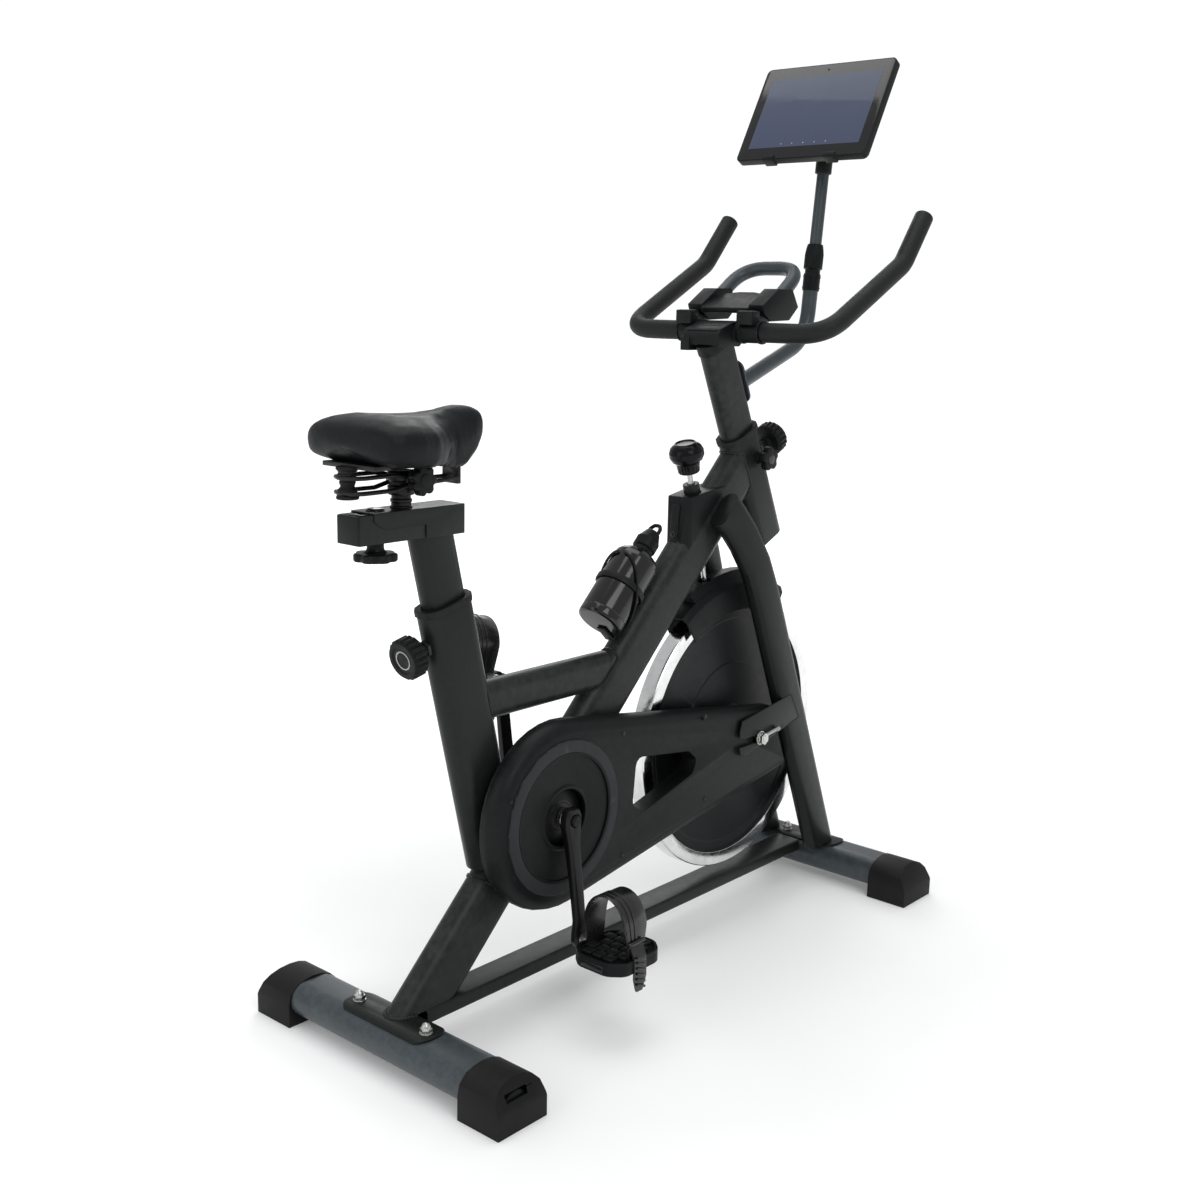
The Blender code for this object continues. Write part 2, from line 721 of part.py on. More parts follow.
def pedal(side):
    """A platform pedal with a block tread, slots for its strap, and its own axle."""
    name = f"pedal_{'left' if side > 0 else 'right'}"
    place = pedal_frame(side)
    offset = shift(0, side * PEDAL_REACH)
    corners = [(-54, -26), (-36, -48), (36, -48), (54, -26), (54, 26), (36, 48), (-36, 48), (-54, 26)]
    obj = plate(name, [filleted(corners, 18, 2)], -12, 8, place @ offset, "black_plastic")
    blocks = []
    for i in range(3):
        for j in range(3):
            spot = shift(-31 + 31 * i, -24 + 24 * j, 9.5)
            blocks.append(box(f"{name}_block_{i}{j}", (21, 18, 5), place @ offset @ spot))
    outward = place @ spun(-90 * side, "X")
    axle = rod(f"{name}_axle", 6, -14, 24, outward, sides=16)
    boss = rod(f"{name}_boss", 11.5, 2, 20, outward, sides=16)
    join(obj, boss, axle, *blocks)
    slot_y = STRAP_HALF_WIDTH + STRAP_THICK / 2
    rear, front = STRAP_X
    slot = (front - rear + 2 * GAP, STRAP_THICK + 2 * GAP, 60)
    for end in (1, -1):
        spot = shift((front + rear) / 2, end * slot_y)
        cut(obj, box(f"{name}_slot_{end}", slot, place @ offset @ spot))
    set_origin(obj, place)


def pedal_strap(side):
    """A strap: an arch over the foot, closed under the pedal, with a tail over the outer rim."""
    name = f"pedal_strap_{'left' if side > 0 else 'right'}"
    place = pedal_frame(side)
    high = 91.0
    spring = 45.0  # where the arch starts, above the pedal's axle
    under = -12.6

    def loop(grow):
        wide = STRAP_HALF_WIDTH + grow
        bows = [radians(a) for a in range(0, 181, 18)]
        bow = [(wide * cos(a), spring + (high - spring + grow) * sin(a)) for a in bows]
        return [(wide, under - grow)] + bow + [(-wide, under - grow)]

    across = place @ shift(0, side * PEDAL_REACH) @ spun(90 * side) @ spun(90, "X")
    rear, front = [side * x for x in STRAP_X]
    obj = plate(name, [loop(STRAP_THICK), loop(0)], min(rear, front), max(rear, front), across, "rubber")
    tail = [(38.6, 34), (50.6, 9), (50.6, -40), (48.5, -40), (48.5, 8.5), (37.5, 31)]
    start, end = sorted((side * -20, side * 6))
    join(obj, plate(f"{name}_tail", [tail], start, end, across))
    set_origin(obj, place)


def set_origin(obj, place):
    """Moves an object's origin without moving its shape."""
    obj.data.transform(place.inverted() @ obj.matrix_world)
    obj.matrix_world = place


def flywheel():
    rim = RIM_HALF_WIDTH
    dish = rim - 8
    profile = [
        (WHEEL_R, rim), (WHEEL_R, -rim), (RIM_INNER_R, -rim), (RIM_INNER_R - 4, -dish), (28, -dish),
        (28, -34.5), (6.6, -34.5), (6.6, 34.5), (28, 34.5),
        (28, dish), (RIM_INNER_R - 4, dish), (RIM_INNER_R, rim),
    ]
    turned("flywheel", profile, sideways(WHEEL_X, WHEEL_Z), "chrome", steps=44, ring=True)


def flywheel_axle():
    """The fixed axle with its washers and nuts, and the eye bolts that tension the belt."""
    place = sideways(WHEEL_X, WHEEL_Z)
    obj = rod("flywheel_axle", 6, -86, 86, place, "steel", sides=12)
    for side in (1, -1):
        high, low = (74, 76.5) if side > 0 else (-76.5, -74)
        join(obj, rod(f"axle_washer_{side}", 12, high, low, place, sides=14))
        nut = (80.4, 85) if side > 0 else (-85, -80.4)
        join(obj, rod(f"axle_nut_{side}", 10.5, *nut, place, sides=6))
        eye = [(10.5, 4), (10.5, 0), (5.5, 0), (5.5, 4)]
        level = 76.4 if side > 0 else -80.4
        join(obj, turned(f"axle_eye_{side}", [(r, z + level) for r, z in eye], place, steps=12, ring=True))
        bolt = at(WHEEL_X, -side * 78.4, WHEEL_Z + 2, 83)
        join(obj, rod(f"tension_bolt_{side}", 3, 9, 50, bolt, sides=8))
        join(obj, rod(f"tension_nut_{side}", 4.6, 42, 48, bolt, sides=6))


def fender():
    """The shroud over the top of the flywheel: an arched channel with a raised cowl."""

    def sweep(name, section, start, end, steps, slot=None):
        rings = []
        for i in range(steps + 1):
            a = radians(start + (end - start) * i / steps)
            rings.append([(r * cos(a), r * sin(a), y) for y, r in section])
        return loft(name, rings, sideways(WHEEL_X, WHEEL_Z), slot)

    outer = [(-26, 213), (-26, 256), (-19, 266), (19, 266), (26, 256), (26, 213)]
    inner = [(23.5, 213), (23.5, 255), (18, 263), (-18, 263), (-23.5, 255), (-23.5, 213)]
    obj = sweep("flywheel_fender", outer + inner, 62, 125, 14, "black_plastic")
    cowl = [(-18, 264.5), (-11, 279), (11, 279), (18, 264.5)]
    join(obj, sweep("fender_cowl", cowl, 78, 116, 8))
    cut(obj, rod("fender_pad_opening", 11, -220, -100, BRAKE, sides=20))


# ---------------------------------------------------------------- brake


def brake_cover(main):
    """The moulding that wraps the main tube round the brake rod, with the rod's sleeve."""
    side = [(104, 656), (110.5, 722), (118, 731), (150, 737), (208.5, 744), (112.5, 646)]
    obj = plate("brake_cover", [side], -24.3, 24.3, sideways(0, 0), "black_plastic")
    plan = [(90, -8), (104, -12), (118, -24.2), (240, -24.2), (240, 24.2), (118, 24.2), (104, 12), (90, 8)]
    combine(obj, plate("brake_cover_plan", [plan], 600, 800, at()), "INTERSECT")
    join(obj, rod("brake_sleeve", 12.5, -22, 15, BRAKE @ spun(7), sides=20))
    bore = rod("brake_cover_bore", 4.8, -80, 40, BRAKE @ spun(5), sides=16)
    cut(obj, main, bore)


def brake_rod():
    """The threaded rod with the pad holder at its foot, just above the rim."""
    obj = rod("brake_rod", 4.3, -172, 40, BRAKE, "steel", sides=16)
    holder = rod("brake_holder", 9, -184, -166, BRAKE, sides=16)
    foot = box("brake_pad_block", (44, 24, 12), BRAKE @ shift(0, 0, -186))
    join(obj, holder, foot)


def brake_knob():
    profile = [
        (0, 84.5), (14, 83.5), (23.5, 78), (28, 69.5), (28, 61.5), (24.5, 54.5), (19, 51), (18, 36),
        (16, 34.5), (4.6, 34.5), (4.6, 48), (0, 48),
    ]
    turned("brake_knob", profile, BRAKE, "gloss_plastic", steps=22)


# ---------------------------------------------------------------- seat


def seat_pin_frame():
    """Z points out of the seat tube's back, square to the seat axis, at the height of the pull pin."""
    along = -38.5
    return SEAT @ shift(0, 0, along) @ spun(-90, "Y")


def post_pin_frame():
    """Z points out of the head tube's front, square to the head axis."""
    along = -63.5
    return HEAD @ shift(0, 0, along) @ spun(90, "Y")


def clamp_frame():
    """Z points out of the head tube's right side."""
    return HEAD @ shift(15, 0, -62) @ spun(90, "X")


def bush(name, place, top, outer_section, flange):
    """A bush between post and tube, with a flange that rests on the tube's end."""
    inner = oval(*POST_SECTION, GAP)
    flange_low = top + GAP
    return plate(name, [outer_section, inner], flange_low, flange_low + flange, place, "rubber")


def seat_bush():
    bush("seat_tube_bush", SEAT, SEAT_TUBE_TOP, oval(91, 49), 9)


def head_bush():
    bush("head_tube_bush", HEAD, HEAD_TOP, oval(86, 50), 9)


def seat_post():
    """The sliding post with the box that carries the saddle's slider."""
    obj = hollow_oval("seat_post", POST_SECTION, -240, 130, SEAT, "frame_paint")
    low, high = BOX_Z
    flatten_end(obj, low + 1.0, top=True)
    start, end = BOX_X
    length = end - start
    middle = at((start + end) / 2, 0, (low + high) / 2)
    block = box("slider_box", (length, 2 * BOX_HALF_WIDTH, high - low), middle)
    hollow_size = (length, 2 * BOX_HALF_WIDTH - 5, high - low - 5)
    hollow = box("slider_hollow", hollow_size, middle @ shift(3))
    slot = box("slider_slot", (64, 10.8, 60), at(SLIDER_X + 6.5, 0, (low + high) / 2))
    join(obj, block)
    cut(obj, hollow, slot)


def saddle_carriage():
    """The channel that slides on the box, with the upright pin that carries the saddle."""
    low, high = BOX_Z
    inside = BOX_HALF_WIDTH + GAP
    outside = inside + 2.0
    top = high + GAP
    side = [
        (-526.5, top + 2), (-526.5, 756), (-520, 751), (-512, 746.5),
        (-505, 745), (-440, 745), (-439.5, low),
        (-372.5, low), (-372.5, top + 2),
    ]
    obj = plate("saddle_carriage", [side], -outside, outside, sideways(0, 0), "frame_paint")
    hollow = box("carriage_hollow", (240, 2 * inside, 80), at(-450, 0, top - 40))
    pin = rod("saddle_pin", 11, top + 1, 790, at(SADDLE_PIN_X), sides=20)
    head = rod("saddle_pin_head", 15, 786, 815, at(SADDLE_PIN_X), sides=24)
    bolt = rod("saddle_bolt_bore", 5.3, -30, 30, sideways(*SADDLE_PIVOT) @ spun(7), sides=16)
    screw = rod("carriage_screw_hole", 5.4, 760, 780, at(SLIDER_X), sides=12)
    cut(obj, hollow, screw)
    join(obj, pin, head)
    cut(obj, bolt)


def slider_knob():
    """The clamp knob under the slider: a lobed wheel, a neck and its screw."""
    low = BOX_Z[0] - GAP
    obj = plate("slider_knob", [lobed(28.5, 4, 7, 6)], 702, 713, at(SLIDER_X), "black_plastic")
    set_origin(obj, at(SLIDER_X, 0, low))
    neck = rod("slider_neck", 11, 712, low, at(SLIDER_X), sides=20)
    screw = rod("slider_screw", 5, 712, BOX_Z[1] + 1.5, at(SLIDER_X), sides=12)
    join(obj, neck, screw)


def pull_knob(name, frame, face, radius, neck):
    """A ribbed pull knob with the spring-loaded pin that locks a post; face is where its neck starts."""
    reach = POST_SECTION[0] / 2 + 2 * GAP
    rise = face + neck
    profile = [
        (0, rise + 25), (radius - 4, rise + 25), (radius, rise + 20), (radius, rise + 5), (radius - 5, rise),
        (11, rise - 3), (11, face), (8, face), (8, face - 4), (4.8, face - 5), (4.8, reach), (0, reach),
    ]
    turned(name, profile, frame, "black_plastic", steps=20)


def saddle_frame():
    """The tilt bolt with its discs and knob, the wires, the rubber bumper and the pad's mounts."""
    pivot = sideways(*SADDLE_PIVOT)
    obj = rod("saddle_frame", 5, -27, 40, pivot, "black_paint", sides=16)
    pieces = [
        rod("saddle_disc_right", 13, 15.6, 21.6, pivot, sides=20),
        rod("saddle_disc_left", 13, -21.6, -15.6, pivot, sides=20),
        rod("saddle_bolt_nut", 8, -27, -21, pivot, sides=6),
        plate("saddle_bolt_knob", [lobed(15, 2.5, 5, 4)], 27, 40, pivot),
        box("saddle_nose_clip", (6, 30, 34), at(-375, 0, 809)),
        box("saddle_nose_mount", (32, 30, 6), at(-389, 0, 826)),
        box("saddle_rear_mount", (26, 100, 6), at(-536, 0, 826)),
        turned(
            "saddle_bumper", [(0, 826), (14, 826), (7.5, 805.5), (14, 785), (0, 785)],
            at(-550), steps=14,
        ),
    ]
    for name, level, start in (("upper", 812, 807), ("lower", 793, 801)):
        half = [(-457, 19, start), (-490, 20, level), (-560, 23, level)]
        path = half + [(x, -y, z) for x, y, z in half[::-1]]
        line = filleted(path, [0, 20, 18, 18, 20, 0], 2, cyclic=False)
        pieces.append(tube(f"saddle_wire_{name}", line, 3.2, sides=1))
    for side in (1, -1):
        path = [(-457, side * 19, 800), (-420, side * 18, 799), (-374.5, side * 14, 800)]
        pieces.append(tube(f"saddle_rail_{side}", path, 3.2, sides=1))
    join(obj, *pieces)
    set_origin(obj, at(SADDLE_PIVOT[0], 0, SADDLE_PIVOT[1]))


def saddle_sections():
    """(x, half width, underside, top) from the rear to the nose."""
    return [
        (-561.0, 30, 850, 864), (-558, 62, 840, 872), (-549, 84, 832, 880), (-530, 94, 827, 885),
        (-505, 96, 823, 885), (-478, 92, 820, 883), (-450, 76, 817, 882), (-425, 54, 815, 883),
        (-400, 39, 812, 886), (-372, 32, 812, 891), (-350, 28, 830, 893), (-336, 22, 848, 888),
        (-329, 12, 862, 878),
    ]


def saddle_pad():
    rings = []
    for x, half, low, high in saddle_sections():
        middle = (low + high) / 2
        rise = (high - low) / 2
        ring = []
        for i in range(16):
            a = 2 * pi * i / 16
            c, s = cos(a), sin(a)
            across = half * (abs(c) ** 0.62) * (1 if c > 0 else -1)
            up = rise * (abs(s) ** (0.8 if s > 0 else 0.35)) * (1 if s > 0 else -1)
            ring.append((x, across, middle + up))
        rings.append(ring)
    obj = loft("saddle_pad", rings, None, "vinyl")
    inset = 13
    edge = [(x + 2.1, half - inset - 0.6) for x, half, low, high in saddle_sections() if -555 < x < -360]
    outline = edge + [(x, -y) for x, y in edge[::-1]]
    cut(obj, plate("saddle_recess", [outline], 760, 829.6, at()))
    set_origin(obj, at(SADDLE_PIVOT[0], 0, SADDLE_PIVOT[1]))


# ---------------------------------------------------------------- handlebar


def handlebar_post():
    hollow_oval("handlebar_post", POST_SECTION, -158, 147, HEAD, "blue_grey_paint")


def clamp_knob():
    """The small side knob that steadies the post."""
    frame = clamp_frame()
    face = HEAD_SECTION[1] / 2
    obj = plate("clamp_knob", [lobed(20, 4, 5, 7)], face + 13, face + 26, frame, "black_plastic")
    set_origin(obj, frame)
    neck = rod("clamp_neck", 10, face + GAP, face + 14, frame, sides=16)
    screw = rod("clamp_screw", 5, POST_SECTION[1] / 2 + 0.6, face + 14, frame, sides=12)
    join(obj, neck, screw)


def bar_path(side):
    """Half of the handlebar from the middle plane to the tip."""
    corners = [
        (BAR_X, 0, BAR_Z), (BAR_X, side * 195, BAR_Z),
        (423.5, side * 198, 1100), (488.5, side * 195, 1178),
    ]
    return filleted(corners, [0, 48, 60, 0], 4, cyclic=False)


def handlebar():
    left = bar_path(1)
    right = bar_path(-1)
    tip = 3.0
    for half in (left, right):
        end = Vector(half[-1])
        back = (Vector(half[-2]) - end).normalized()
        half[-1] = tuple(end + back * tip)
    line = right[:0:-1] + left[1:]
    tube("handlebar", line, BAR_R, None, "steel", sides=2, bore=BAR_R - 2.5)


def grip(side):
    """A foam grip from the stem's clamp out to the tip."""
    path = bar_path(side)
    path[0] = (BAR_X, side * 80, BAR_Z)
    name = f"grip_{'left' if side > 0 else 'right'}"
    tube(name, path, GRIP_R, None, "foam", bore=BAR_R + 4 * GAP)


def stem():
    """The clamp block on the post's head: a wedge cap, two collars on the bar and two clip boxes."""
    side = [
        (160, 968), (155.5, 985), (163, 994), (196, 1004),
        (224, 1006), (232, 1000), (230, 978), (214, 966),
    ]
    obj = plate("stem", [side], -35, 35, sideways(0, 0), "black_plastic")
    collar = rod("stem_collar", 17, -79.5, 79.5, sideways(BAR_X, BAR_Z) @ spun(4), sides=24)
    foot = plate("stem_foot", [oval(*POST_SECTION, 2.5)], 143, 160, HEAD)
    clips = [box(f"stem_clip_{y}", (22, 30, 21), at(198.5, y, 1011)) for y in (-60, 60)]
    latch = box("stem_latch", (36, 17, 21), at(172, 29.5, 969.5))
    join(obj, collar, foot, latch, *clips)
    bore = rod("stem_bore", BAR_R + GAP, -90, 90, sideways(BAR_X, BAR_Z) @ spun(4), sides=24)
    post = plate("stem_post_bore", [oval(*POST_SECTION, GAP)], 100, 147 + GAP, HEAD)
    cut(obj, bore, post)


def loop_line():
    """Centre line of the small upright loop in front of the stem."""
    half = [(225.7, -60, 1000.3), (262, -60, 1030), (347, -58, 1091)]
    corners = half + [(x, -y, z) for x, y, z in half[::-1]]
    return filleted(corners, [0, 0, 56, 56, 0, 0], 6, cyclic=False)


def bar_loop():
    tube("bar_loop", loop_line(), 11.5, None, "blue_grey_paint")


def bar_tray():
    """A shelf between the loop's arms, with a block round each arm."""
    side = [(217, 1031), (258, 1057), (298, 1057), (316, 1029), (292, 1008), (240, 1006), (222, 1018)]
    obj = plate("bar_tray", [side], 46, 75, sideways(0, 0), "black_plastic")
    other = plate("tray_left_block", [side], -75, -46, sideways(0, 0))
    outline = [(2, -48), (50, -48), (63, -36), (69, -14), (69, 14), (63, 36), (50, 48), (2, 48)]
    shelf = plate("tray_shelf", [filleted(outline, 4, 2)], -9, 0, at(213, 0, 1025) @ spun(-23, "Y"))
    join(obj, shelf, other)
    cut(obj, tube("tray_loop_channel", loop_line(), 11.5 + GAP))


def mast_lower():
    """The bent tube on the post's front that carries the tablet, with its mounting pad."""
    up = MAST @ Vector((0, 0, 37 * MM))
    corner = MAST @ Vector((0, 0, -74 * MM))
    corners = [(265.8, 0, 905.9), tuple(corner / MM), tuple(up / MM)]
    line = filleted(corners, [0, 75, 0], 7, cyclic=False)
    obj = tube("mast_lower", line, 12.75, None, "blue_grey_paint")
    bore = rod("mast_bore", 10.6, -58, 60, MAST, sides=20)
    middle = HEAD @ shift(POST_SECTION[0] / 2 + GAP + 2, 0, 66) @ spun(90, "Y")
    pad = plate("mast_pad", [oval(76, 30)], -2, 2, middle)
    cut(obj, bore)
    join(obj, pad)


def mast_collar():
    """The twist collar that locks the telescopic tube."""
    profile = [
        (13, 87), (16, 70), (16, 46), (12.9, 45), (12.9, 39), (14.5, 36), (14.5, 9), (13.1, 9),
        (13.1, 37.4), (10.7, 37.6), (10.7, 87),
    ]
    turned("mast_collar", profile, MAST, "black_plastic", steps=18, ring=True)


def mast_upper():
    rod("mast_upper", 10.25, -46, 226, MAST, "blue_grey_paint", sides=20)


def tablet_holder():
    """The swivelling head on the mast with the fork of the tilt hinge."""
    obj = rod("tablet_holder", 14, 205, 240, MAST, "black_plastic", sides=20)
    place = at(PIVOT[0], 0, PIVOT[1])
    arm = [(462, 1309), (466, 1302), (474, 1286), (500, 1280), (500, 1292), (484, 1318), (472, 1321)]
    neck = plate("holder_neck", [filleted(arm, 3, 2)], -16, 16, sideways(0, 0))
    gap = box("holder_fork_gap", (40, 14.6, 40), place @ shift(0, 0, 12))
    socket = rod("holder_socket", 10.55, 200, 226.5, MAST, sides=20)
    join(obj, neck)
    cut(obj, gap, socket)


def tablet():
    """The tablet with the hinge knuckle and plate on its back and the two lower clips."""
    width, height, thick = TABLET_SIZE
    corners = [
        (-height / 2, -width / 2), (height / 2, -width / 2),
        (height / 2, width / 2), (-height / 2, width / 2),
    ]
    flat = TABLET @ spun(-90, "Y")
    obj = plate("tablet", [filleted(corners, 9, 4)], -thick, 0, flat, "black_plastic")
    back = box("tablet_back_plate", (70, 90, 5), flat @ shift(-26, 0, -thick - 2.4))
    bring = TABLET.inverted() @ Vector((PIVOT[0] * MM, 0, PIVOT[1] * MM))
    reach = bring.x / MM
    level = bring.z / MM
    behind = TABLET @ shift((reach + thick) / 2, 0, level)
    knuckle = box("tablet_knuckle", (reach - thick, 13.8, 12), behind)
    barrel = rod("tablet_barrel", 7, -6.9, 6.9, sideways(*PIVOT), sides=16)
    join(obj, back, knuckle, barrel)
    for side in (1, -1):
        edge = TABLET @ shift(thick / 2, side * 60, -height / 2 + 2.5)
        join(obj, box(f"tablet_clip_{side}", (thick + 4, 22, 10), edge))
    set_origin(obj, at(PIVOT[0], 0, PIVOT[1]))


# ---------------------------------------------------------------- bottle


def water_bottle():
    r = BOTTLE_R
    profile = [
        (0, 178), (10, 176), (17, 160), (17, 146), (15, 145), (15, 140), (28, 133), (r - 2, 125),
        (r, 116), (r, 4), (r - 5, 0), (0, 0),
    ]
    obj = turned("water_bottle", profile, BOTTLE, "gloss_plastic", steps=24)
    loop = [(0, -9, 170), (0, -8, 184), (0, 0, 192), (0, 8, 184), (0, 9, 170)]
    ring = tube("bottle_loop", filleted(loop, 6, 2, cyclic=False), 3, BOTTLE, sides=1)
    join(obj, ring)


def bottle_cage():
    """A band round the bottle, a spine screwed to the main tube and a hook under the bottle."""
    inner = BOTTLE_R + 0.8
    outer = inner + 3
    band = [(outer, 72), (outer, 62), (inner, 62), (inner, 72)]
    obj = turned("bottle_cage", band, BOTTLE, "black_plastic", steps=24, ring=True)
    spine = box("cage_spine", (3, 16, 116), BOTTLE @ shift(inner + 1.6, 0, 54.5))
    hook = box("cage_hook", (30, 16, 3), BOTTLE @ shift(inner - 12.5, 0, -2))
    pieces = [spine, hook]
    surface = BOTTLE.inverted() @ MAIN
    drop = surface.translation.x / MM - MAIN_SECTION[0] / 2 - GAP
    for i, level in enumerate((30, 90)):
        stand = shift(0, 0, level) @ spun(90, "Y")
        pieces.append(rod(f"cage_stand_{i}", 7, inner + 1, drop, BOTTLE @ stand, sides=12))
    join(obj, *pieces)


# ---------------------------------------------------------------- assembly


def build():
    clear_scene()
    for end, x in (("rear", REAR_X), ("front", FRONT_X)):
        stabiliser(end, x)
        cap(end, x, 1)
        cap(end, x, -1)
    foot_plate("rear", REAR_X, REAR_X - 1.7, 69)
    foot_plate("front", FRONT_X, FRONT_X - 8, 24)
    main, seat, head = solid_main(), solid_seat(), solid_head()
    shell_bore = rod("crank_shell_bore", 24.3, -60, 60, sideways(CRANK_X, CRANK_Z) @ spun(4), sides=32)
    brake_bore = rod("brake_rod_bore", 7, -150, 40, BRAKE @ spun(7), sides=16)
    main_tube(shell_bore, head, brake_bore)
    seat_tube(main)
    top_tube(main, seat)
    head_tube()
    bottom_beam()
    crank_shell()
    crank_spindle()
    pulley("crank_pulley", CRANK_PULLEY_R, 10.3, CRANK_X, CRANK_Z, 84, 26)
    pulley("flywheel_pulley", WHEEL_PULLEY_R, 6.6, WHEEL_X, WHEEL_Z, 0, 24)
    drive_belt()
    guard_outer()
    guard_inner()
    for side in (1, -1):
        fork_leg(side)
        transport_wheel(side)
        crank_arm(side)
        pedal(side)
        pedal_strap(side)
        grip(side)
    flywheel()
    flywheel_axle()
    fender()
    brake_cover(main)
    brake_rod()
    brake_knob()
    seat_bush()
    head_bush()
    seat_post()
    saddle_carriage()
    slider_knob()
    pull_knob("seat_knob", seat_pin_frame(), SEAT_SECTION[0] / 2 + GAP, 29, 19)
    pull_knob("post_knob", post_pin_frame(), HEAD_SECTION[0] / 2 + GAP, 28, 30)
    saddle_frame()
    saddle_pad()
    handlebar_post()
    clamp_knob()
    stem()
    handlebar()
    bar_loop()
    bar_tray()
    mast_lower()
    mast_collar()
    mast_upper()
    tablet_holder()
    tablet()
    water_bottle()
    bottle_cage()


build()
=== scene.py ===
"""The indoor spin bike's finished shapes and materials, with a floor, lights and a camera.

Lengths are in millimetres unless a name says otherwise, and MM turns them into metres. +X is forwards,
+Y is the rider's left, +Z is up.
"""

import json
from math import atan2, cos, degrees, hypot, pi, radians, sin, tan

import bmesh
import bpy
from mathutils import Matrix, Vector
from mathutils.bvhtree import BVHTree


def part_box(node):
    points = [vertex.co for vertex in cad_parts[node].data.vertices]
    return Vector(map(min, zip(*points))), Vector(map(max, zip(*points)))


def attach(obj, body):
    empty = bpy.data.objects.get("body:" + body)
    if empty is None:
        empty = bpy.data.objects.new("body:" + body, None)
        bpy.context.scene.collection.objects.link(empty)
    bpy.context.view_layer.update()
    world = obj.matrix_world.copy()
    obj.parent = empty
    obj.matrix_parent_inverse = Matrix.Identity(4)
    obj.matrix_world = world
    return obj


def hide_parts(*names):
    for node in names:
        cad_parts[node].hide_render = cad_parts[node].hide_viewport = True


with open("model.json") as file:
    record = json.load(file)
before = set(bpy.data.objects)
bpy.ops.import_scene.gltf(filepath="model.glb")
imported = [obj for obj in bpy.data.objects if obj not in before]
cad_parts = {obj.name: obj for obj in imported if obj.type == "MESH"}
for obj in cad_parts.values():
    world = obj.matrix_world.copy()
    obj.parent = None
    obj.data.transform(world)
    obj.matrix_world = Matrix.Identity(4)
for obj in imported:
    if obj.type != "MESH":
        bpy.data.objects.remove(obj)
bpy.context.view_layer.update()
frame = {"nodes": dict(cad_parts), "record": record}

MM = 0.001
BEHAVIOUR = frame["record"]["behaviour"]
JOINTS = {joint["name"]: joint for joint in BEHAVIOUR["joints"]}
BODY_OF = {node: body for body, nodes in BEHAVIOUR["bodies"].items() for node in nodes}
SLOT_OF = {part["node"]: part["material_slot"] for part in frame["record"]["subparts"]}


# ---------------- places


def at(x=0.0, y=0.0, z=0.0, lean=0.0):
    """A frame at a point, its Z tipped forwards by lean degrees."""
    return Matrix.Translation(Vector((x, y, z)) * MM) @ Matrix.Rotation(radians(lean), 4, "Y")


def shift(x=0.0, y=0.0, z=0.0):
    return Matrix.Translation(Vector((x, y, z)) * MM)


def spun(angle, axis="Z"):
    return Matrix.Rotation(radians(angle), 4, axis)


def sideways(x, z, y=0.0, right=True):
    """A frame whose Z points to the rider's right (or left) and whose X points forwards."""
    return shift(x, y, z) @ spun(90 if right else -90, "X")


def joint_point(name):
    return Vector(JOINTS[name]["pos_m"]) / MM


def joint_lean(name):
    axis = JOINTS[name]["axis"]
    return degrees(atan2(axis[0], axis[2]))


CRANK = joint_point("crank_spin")
WHEEL = joint_point("flywheel_spin")
MAIN = at(0, 0, 498.5, 45)
SEAT = at(-387.7, 0, 621.0, joint_lean("seat_height"))
HEAD = at(259.5, 0, 833.0, joint_lean("bar_height"))
BRAKE = at(*joint_point("brake_knob_turn"), -15.5)
MAST = at(*joint_point("mast_collar_turn"), joint_lean("mast_height"))
TABLET = at(448.1, 0, 1351.3, 28.75)
BOTTLE = at(-72.5, 0, 555.0, 45)
SEAT_PIN = SEAT @ shift(0, 0, -38.5) @ spun(-90, "Y")
POST_PIN = HEAD @ shift(0, 0, -63.5) @ spun(90, "Y")
SIDE_CLAMP = HEAD @ shift(15, 0, -62) @ spun(90, "X")

REAR_X, FRONT_X = -484.3, 515.5
STAB_SECTION, STAB_Z = (80.0, 50.0), 38.0
MAIN_SECTION = (86.0, 44.0)
TOP_SECTION = (57.0, 36.0)
HEAD_SECTION = (80.0, 44.0)
POST_SECTION = (70.0, 34.0)
BAR_X, BAR_Z = 212.1, 989.0
BAR_R, GRIP_R = 12.5, 15.5
BOTTLE_R = 36.5
CRANK_LENGTH = 175
PEDAL_OUT = 64
SLIDER_KNOB_X, SADDLE_PIN_X, BUMPER_X = -506.5, -463.0, -550.0
GUARD_FACE = 67.5
GUARD_SCREWS = (
    (114.5, 383.6), (121.0, 244.2), (-88.0, 398.5), (-84.0, 205.0), (-325.0, 350.0), (-318, 236),
)


# ---------------- outlines


def arc(cx, cy, radius, start, end, steps):
    angles = [radians(start + (end - start) * i / steps) for i in range(steps + 1)]
    return [(cx + radius * cos(a), cy + radius * sin(a)) for a in angles]


def oval(width, depth, grow=0.0, steps=16):
    """A flat oval, long side along X."""
    radius = depth / 2
    reach = width / 2 - radius
    right = arc(reach, 0, radius + grow, -90, 90, steps)
    return right + arc(-reach, 0, radius + grow, 90, 270, steps)


def circle(radius, steps=48):
    return arc(0, 0, radius, 0, 360, steps)[:-1]


def rectangle(x, y):
    """The four corners at x and y either side of the origin."""
    return [(-x, -y), (x, -y), (x, y), (-x, y)]


def lobed(radius, depth, lobes, steps):
    points = []
    for i in range(lobes * steps):
        a = 2 * pi * i / (lobes * steps)
        r = radius - depth * (0.5 - 0.5 * cos(lobes * a)) ** 2
        points.append((r * cos(a), r * sin(a)))
    return points


